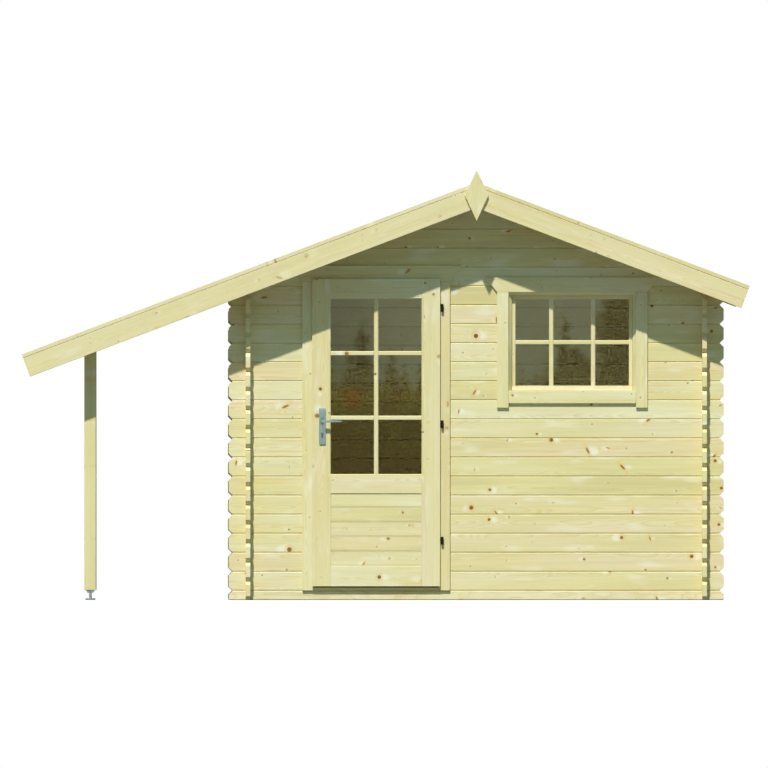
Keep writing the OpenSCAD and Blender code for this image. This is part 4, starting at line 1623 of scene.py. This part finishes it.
@dataclass
class Door:
    """The door leaf: stiles, rails, glazing beads and bars, and the boarded panel.

    Attributes:
        row: The tree that repeats boards and bars.
        stile: Width of a stile.
        rail_gap: Gap between a stile and the end of a rail.
        arris: Width of the eased edges of stiles and rails.
        bead: Width of the beads round the glass.
        bead_slope: Width of a bead's slope, and how deep that begins.
        bead_sunk: How far a bead lies under the face of the leaf.
        bar_sunk: How far a bar does.
        bar: Width of a glazing bar.
        lip: Thickness of the lip.
        lip_side: How far the lip stands out past the body of the leaf at the sides.
        lip_top: How far it stands out at the top.
        bars_z: Heights of the middle of the cross bars.
        panel_boards: Boards in the panel.
        panel_gap: Gap between them.
        panel_end: Gap at their ends.
        panel_groove: Half the thickness and the depth of the groove in their lower edge.
        panel_arris: Chamfer of their upper edge in front.
        panel_v: Chamfer of their joints behind.
        panel_dip: How far the foot of a board leans back in front.
        panel_slope: Height over which it does.
        bore: Radius of the hole for the neck of the lever.
        bore_count: Corners of its outline.
        play: Gap round the lock's cylinder.
    """

    row: BoardRow
    stile: float = 0.1125
    rail_gap: float = 0.0002
    arris: float = 0.0008
    bead: float = 0.015
    bead_slope: tuple[float, float] = (0.005, 0.006)
    bead_sunk: float = 0.0008
    bar_sunk: float = 0.002
    bar: float = 0.027
    lip: float = 0.014
    lip_side: float = 0.016
    lip_top: float = 0.0225
    bars_z: tuple[float, float] = (1.1038, 1.4952)
    panel_boards: int = 5
    panel_gap: float = 0.0006
    panel_end: float = 0.0005
    panel_groove: tuple[float, float] = (0.003, 0.005)
    panel_arris: float = 0.0004
    panel_v: float = 0.002
    panel_dip: float = 0.0024
    panel_slope: float = 0.013
    bore: float = 0.0095
    bore_count: int = 24
    play: float = 0.0005

    def __post_init__(self) -> None:
        """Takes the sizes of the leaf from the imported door."""
        self.lo, self.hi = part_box("door_leaf")
        self.middle = (self.lo.x + self.hi.x) / 2
        self.half = (self.hi.x - self.lo.x) / 2
        self.pane = self.half - self.stile
        self.glass_lo, self.glass_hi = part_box("door_glass")
        self.groove = (self.glass_hi.x - self.glass_lo.x) / 2 - self.pane
        self.light = (self.glass_lo.z + self.groove, self.glass_hi.z - self.groove)
        panel_lo, panel_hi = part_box("door_panel")
        self.panel = (panel_lo.z + self.groove, panel_hi.z - self.groove)
        self.panel_y = (panel_lo.y, panel_hi.y)

    def build(self) -> None:
        """Builds all parts of the leaf."""
        self.timbers()
        self.beads()
        self.bars()
        self.boards()
        dress("door_glass", GLASS)

    def timbers(self) -> None:
        """Stiles and rails, each a front slab with the lip and a thicker body behind it."""
        shape = blank()
        zones = (self.light[0] - self.bead, self.light[1] + self.bead)
        back = self.lo.y + self.lip
        for start, end, inset, top in ((self.lo.y, back, 0.0, self.hi.z),
                                       (back, self.hi.y, self.lip_side, self.hi.z - self.lip_top)):
            for number, (side, _) in enumerate(SIDES):
                outer, inner = side * (self.half - inset), side * self.pane
                notch = side * (self.pane + self.bead)
                outline = [(outer, self.lo.z), (inner, self.lo.z), (inner, zones[0]), (notch, zones[0]),
                           (notch, zones[1]), (inner, zones[1]), (inner, top), (outer, top)]
                corners = slab(shape, outline, (X, Z, Y), start, end, X * self.middle)
                mark_grain(shape, corners, (X, Y, Z), FirstBoard.STILES + number, 2)
            reach = self.pane - self.rail_gap
            for number, (low, high) in enumerate(((self.lo.z, self.panel[0]), (self.panel[1], zones[0]),
                                                  (zones[1], top))):
                corners = slab(shape, rectangle(-reach, low, reach, high), (X, Z, Y), start, end, X * self.middle)
                mark_grain(shape, corners, (X, Y, Z), FirstBoard.RAILS + number, 0)
        ease_edges(shape, self.arris, 2)
        place_piece("door_leaf_timbers", self.mortise(as_mesh(shape, "door_leaf", PINE)), DOOR,
                    ["door_leaf"])

    def mortise(self, mesh: bpy.types.Mesh) -> bpy.types.Mesh:
        """Cuts the holes for the neck of the lever and for the lock's cylinder.

        Args:
            mesh: The timbers of the leaf.

        Returns:
            The timbers with both holes.
        """
        lock = Lock()
        shape = bmesh.new()
        for outline, rise in ((disc(self.bore, self.bore_count), lock.below), (lock.outline(self.play), 0.0)):
            loft(shape, [(outline, self.lo.y - self.lip), (outline, self.hi.y + self.lip)], (X, Z, Y),
                 lock.middle() + Z * rise)
        bmesh.ops.remove_doubles(shape, verts=shape.verts, dist=WELD)
        timbers, tool = new_object("timbers", mesh), new_object("mortise", as_mesh(shape, "mortise", PINE))
        cut = timbers.modifiers.new("mortise", "BOOLEAN")
        cut.operation, cut.solver, cut.object = "DIFFERENCE", "MANIFOLD", tool
        result = evaluated(timbers)
        for item in (timbers, tool):
            bpy.data.objects.remove(item)
        shape = bmesh.new()
        shape.from_mesh(result)
        grain, number = shape.verts.layers.float_vector["grain"], shape.verts.layers.float["board"]
        for corners in islands(shape):
            known = next(v for v in corners if v[number])
            for v in corners:
                if not v[number]:
                    way = v.co - known.co
                    v[grain], v[number] = known[grain] + Vector((way.z, way.x, way.y)), known[number]
        shape.to_mesh(result)
        shape.free()
        return result

    def beads(self) -> None:
        """Mitred beads that hold the glass, in front of it and behind it."""
        shape = blank()
        lo = Vector((self.middle - self.pane, 0, self.light[0]))
        hi = Vector((self.middle + self.pane, 0, self.light[1]))
        for face, pane in ((self.lo.y, self.glass_lo.y), (self.hi.y, self.glass_hi.y)):
            inward = math.copysign(1.0, pane - face)
            wide, deep = self.bead_slope
            top = face + inward * self.bead_sunk
            section = [(0.0, pane), (0.0, face + inward * deep), (wide, top), (self.bead, top), (self.bead, pane)]
            mitred_frame(shape, lo, hi, section, FirstBoard.DOOR_BEADS + inward)
        place_piece("door_glazing_beads", as_mesh(shape, "door_beads", PINE), DOOR)

    def bars(self) -> None:
        """The upright bar and the cross bars over the panes, on both faces of the glass."""
        shape = blank()
        for face, pane in ((self.lo.y, self.glass_lo.y), (self.hi.y, self.glass_hi.y)):
            glazing_bars(shape, (self.middle,), self.bars_z, (self.middle - self.pane, self.light[0]),
                         (self.middle + self.pane, self.light[1]), self.bar, pane,
                         face + math.copysign(self.bar_sunk, pane - face), FirstBoard.DOOR_BARS + face * 10)
        place_piece("door_glazing_bars", as_mesh(shape, "door_bars", PINE), DOOR)

    def boards(self) -> None:
        """The boarded panel, one board repeated upwards."""
        width = (self.panel[1] - self.panel[0]) / self.panel_boards
        v, gap, arris, dip = self.panel_v, self.panel_gap, self.panel_arris, self.panel_dip
        front, back = self.panel_y
        low = self.panel[0] + gap / 2
        high = low + width - gap
        middle = (front + back) / 2
        half, deep = self.panel_groove
        outline = [(front + dip, low), (middle - half, low), (middle - half, low + deep), (middle + half, low + deep),
                   (middle + half, low), (back - v, low), (back, low + v), (back, high - v), (back - v, high),
                   (front + arris, high), (front, high - arris), (front, low + self.panel_slope)]
        shape = blank()
        corners = slab(shape, outline, (Y, Z, X), self.middle - self.pane + self.panel_end,
                       self.middle + self.pane - self.panel_end)
        mark_grain(shape, corners, (X, Y, Z), 0.0, 0)
        self.row.lay(shape, "door_panel_boards", self.panel_boards, Z * width, Vector(), Seed.PANEL, PINE, DOOR,
                     Slot.JOINERY, "door_panel")


def mitred_frame(shape: bmesh.types.BMesh, lo: Vector, hi: Vector, section: Outline, seed: float) -> None:
    """Adds four mitred lengths of moulding round an upright opening.

    Args:
        shape: The mesh to add to.
        lo: Lowest corner of the opening.
        hi: Highest corner of the opening.
        section: Section of the moulding: distance out from the opening, and y.
        seed: Number of the first length.
    """
    corners = [Vector((lo.x, 0, lo.z)), Vector((hi.x, 0, lo.z)), Vector((hi.x, 0, hi.z)), Vector((lo.x, 0, hi.z))]
    for i in range(4):
        a, b = corners[i], corners[(i + 1) % 4]
        run = (b - a).normalized()
        out = Vector((run.z, 0, -run.x))
        rings = [[shape.verts.new(end + out * o + run * sign * o + Y * y) for o, y in section]
                 for end, sign in ((a, -1), (b, 1))]
        skin(shape, rings)
        mark_grain(shape, rings[0] + rings[1], (run, out, Y), seed + 0.1 * i, 0)


def glazing_bars(shape: bmesh.types.BMesh, uprights: Sequence[float], levels: Sequence[float],
                 low: tuple[float, float], high: tuple[float, float], width: float, pane: float, face: float,
                 seed: float) -> None:
    """Adds the bars over a window: whole uprights, with cross bars between them.

    Args:
        shape: The mesh to add to.
        uprights: Middles of the upright bars.
        levels: Heights of the middles of the cross bars.
        low: Left edge and foot of the opening.
        high: Right edge and head of the opening.
        width: Width of a bar.
        pane: Where the bars meet the glass.
        face: Where the bars end in front.
        seed: Number of the first bar.
    """
    bevel = DEEP_BEVEL if abs(face - pane) > THIN_BAR else THIN_BEVEL
    inward = math.copysign(bevel, pane - face)
    half = width / 2
    section = [(-half, pane), (-half, face + inward), (bevel - half, face), (half - bevel, face),
               (half, face + inward), (half, pane)]
    for number, x in enumerate(uprights):
        corners = slab(shape, section, (X, Y, Z), low[1], high[1], X * x)
        mark_grain(shape, corners, (X, Y, Z), seed + number, 2)
    stops = [low[0], *(x + s * (half + BAR_GAP) for x in uprights for s in (-1, 1)), high[0]]
    for number, z in enumerate(levels):
        for start, end in zip(stops[::2], stops[1::2]):
            corners = slab(shape, section, (Z, Y, X), start, end, Z * z)
            mark_grain(shape, corners, (X, Y, Z), seed + 5 + number + start, 0)


@dataclass
class Window:
    """Glass and glazing bars of the window.

    Attributes:
        bar: Width of the bars.
        middle: Width of the middle panes.
        groove: How deep the glass sits in the sash.
        bar_sunk: How far a bar lies under the face of the sash.
    """

    bar: float = 0.0265
    middle: float = 0.2275
    groove: float = 0.008
    bar_sunk: float = 0.002

    def build(self) -> None:
        """Builds the bars and dresses the glass."""
        lo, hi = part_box("window_glass")
        sash_lo, sash_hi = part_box("window_sash")
        left, right = lo.x + self.groove, hi.x - self.groove
        low, high = lo.z + self.groove, hi.z - self.groove
        uprights = [(left + right) / 2 + side * (self.middle + self.bar) / 2 for side in (-1, 1)]
        shape = blank()
        for face, glass in ((sash_lo.y + self.bar_sunk, lo.y), (sash_hi.y - self.bar_sunk, hi.y)):
            glazing_bars(shape, uprights, ((low + high) / 2,), (left, low), (right, high), self.bar, glass, face,
                         FirstBoard.WINDOW_BARS + face * 10)
        place_piece("window_glazing_bars", as_mesh(shape, "window_bars", PINE), HOUSE)
        dress("window_glass", GLASS)


@dataclass
class Studio:
    """Floor, daylight and camera.

    Attributes:
        sun_way: Direction in which the sunlight travels.
        sun_level: Strength of the sunlight.
        sun_spread: Angle of the sun's disc in radians, which softens the edges of shadows.
        ambient: Light of the surroundings.
        room_level: Strength of the lamp in the room.
        room_less: How much smaller than the floor that lamp is.
        room_drop: How far under the purlins it hangs.
        distance: From the front wall to the camera.
        stand: How far right of the ridge the camera stands. It sees the left slope edge on, and the front post
            in front of the back one.
        eye: Height of the camera.
        aim: Middle of the view: to the right of the ridge, and up.
        view: Width of the view at the front wall.
        sensor: Width of the camera's sensor in millimetres.
        ground_half: Half the width of the ground.
        ground_z: Height of the ground, just under the house.
        ground_shaded: Its colour for the light that falls on it.
        ground_glow: Its own brightness, which keeps it pale.
        ground_dull: Its colour for the light that it throws back up.
    """

    sun_way: tuple[float, float, float] = (0.2487, 1.0, -1.407)
    sun_level: float = 4.17
    sun_spread: float = 0.02
    ambient: tuple[float, float, float] = (0.188, 0.331, 0.384)
    room_level: float = 1.5
    room_less: float = 0.6
    room_drop: float = 0.02
    distance: float = 220.0
    stand: float = -1.92
    eye: float = 0.12
    aim: tuple[float, float] = (-0.5588, 1.3095)
    view: float = 4.654
    sensor: float = 36.0
    ground_half: float = 14.0
    ground_z: float = -0.0005
    ground_shaded: tuple[float, float, float] = (0.28, 0.28, 0.28)
    ground_glow: float = 0.74
    ground_dull: tuple[float, float, float] = (0.2, 0.2, 0.19)

    def build(self) -> None:
        """Sets up the studio."""
        self.light()
        self.ground()
        self.camera()

    def light(self) -> None:
        """Sunlight from above the left shoulder, and even light from all round."""
        sun = bpy.data.lights.new("sun", "SUN")
        sun.energy, sun.angle = self.sun_level, self.sun_spread
        lamp = new_object("sun", sun)
        lamp.rotation_mode = "QUATERNION"
        lamp.rotation_quaternion = Vector(self.sun_way).to_track_quat("-Z", "Y")
        self.room_lamp()
        world = bpy.data.worlds.new("surroundings")
        bpy.context.scene.world = world
        g = Graph.emptied(world)
        white = g.out("ShaderNodeBackground", {"Color": (1.0, 1.0, 1.0, 1.0), "Strength": 1.0})
        dim = g.out("ShaderNodeBackground", {"Color": (*self.ambient, 1.0), "Strength": 1.0})
        shown = g.out("ShaderNodeMixShader", {0: self.seen(g), 1: dim, 2: white})
        g.add("ShaderNodeOutputWorld", {"Surface": shown})

    def room_lamp(self) -> None:
        """A faint wide lamp under the roof that lets the inside of the room show through the glass."""
        lo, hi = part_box("floor")
        soft = bpy.data.lights.new("room_light", "AREA")
        soft.energy, soft.shape = self.room_level, "RECTANGLE"
        soft.size, soft.size_y = hi.x - lo.x - self.room_less, hi.y - lo.y - self.room_less
        lamp = new_object("room_light", soft)
        lamp.location = (*centre("floor")[:2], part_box("left_purlin")[0].z - self.room_drop)
        lamp.visible_camera = lamp.visible_glossy = lamp.visible_transmission = False

    @staticmethod
    def seen(g: Graph) -> Wire:
        """Whether a ray comes from the camera, a mirror or clear glass."""
        path = g.add("ShaderNodeLightPath").outputs
        ray = g.math("MAXIMUM", path["Is Camera Ray"], path["Is Glossy Ray"])
        return g.math("MAXIMUM", ray, path["Is Transmission Ray"])

    def ground(self) -> None:
        """A pale floor that keeps the house's shadow but throws little light back up."""
        mesh = bpy.data.meshes.new("ground")
        half, z = self.ground_half, self.ground_z
        mesh.from_pydata([(-half, -half, z), (half, -half, z), (half, half, z), (-half, half, z)], [], [(0, 1, 2, 3)])
        material = bpy.data.materials.new("ground")
        g = Graph.emptied(material)
        shaded = g.out("ShaderNodeBsdfDiffuse", {"Color": (*self.ground_shaded, 1.0)})
        glow = g.out("ShaderNodeEmission", {"Color": (1.0, 1.0, 1.0, 1.0), "Strength": self.ground_glow})
        pale = g.out("ShaderNodeAddShader", {0: shaded, 1: glow})
        dull = g.out("ShaderNodeBsdfDiffuse", {"Color": (*self.ground_dull, 1.0)})
        shown = g.out("ShaderNodeMixShader", {0: self.seen(g), 1: dull, 2: pale})
        g.add("ShaderNodeOutputMaterial", {"Surface": shown})
        mesh.materials.append(material)
        ground = new_object("ground", mesh)

    def camera(self) -> None:
        """A long lens far in front of the house, so that it looks like an elevation."""
        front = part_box("front_wall_lower")[0].y
        data = bpy.data.cameras.new("camera")
        data.sensor_width = self.sensor
        data.clip_start, data.clip_end = 1.0, 2 * self.distance
        camera = new_object("camera", data)
        target = Vector((self.aim[0], front, self.aim[1]))
        camera.location = Vector((self.stand, front - self.distance, self.eye))
        away = target - camera.location
        data.lens = data.sensor_width * away.length / self.view
        camera.rotation_mode = "QUATERNION"
        camera.rotation_quaternion = away.to_track_quat("-Z", "Y")
        bpy.context.scene.camera = camera
        bpy.context.scene.view_settings.view_transform = "Standard"


def main() -> None:
    """Builds the whole house in order."""
    Studio().build()
    LogWalls().dress()
    row = BoardRow()
    roof = Roof(row)
    roof.build()
    Timbers(roof).build()
    Floor(row).build()
    Door(row).build()
    Window().build()
    Fittings().build()
    Lock().build()
    Fasteners(roof).build()


if __name__ == "__main__":
    logging.basicConfig(level=logging.INFO, format="%(name)s: %(message)s")
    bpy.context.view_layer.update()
    main()
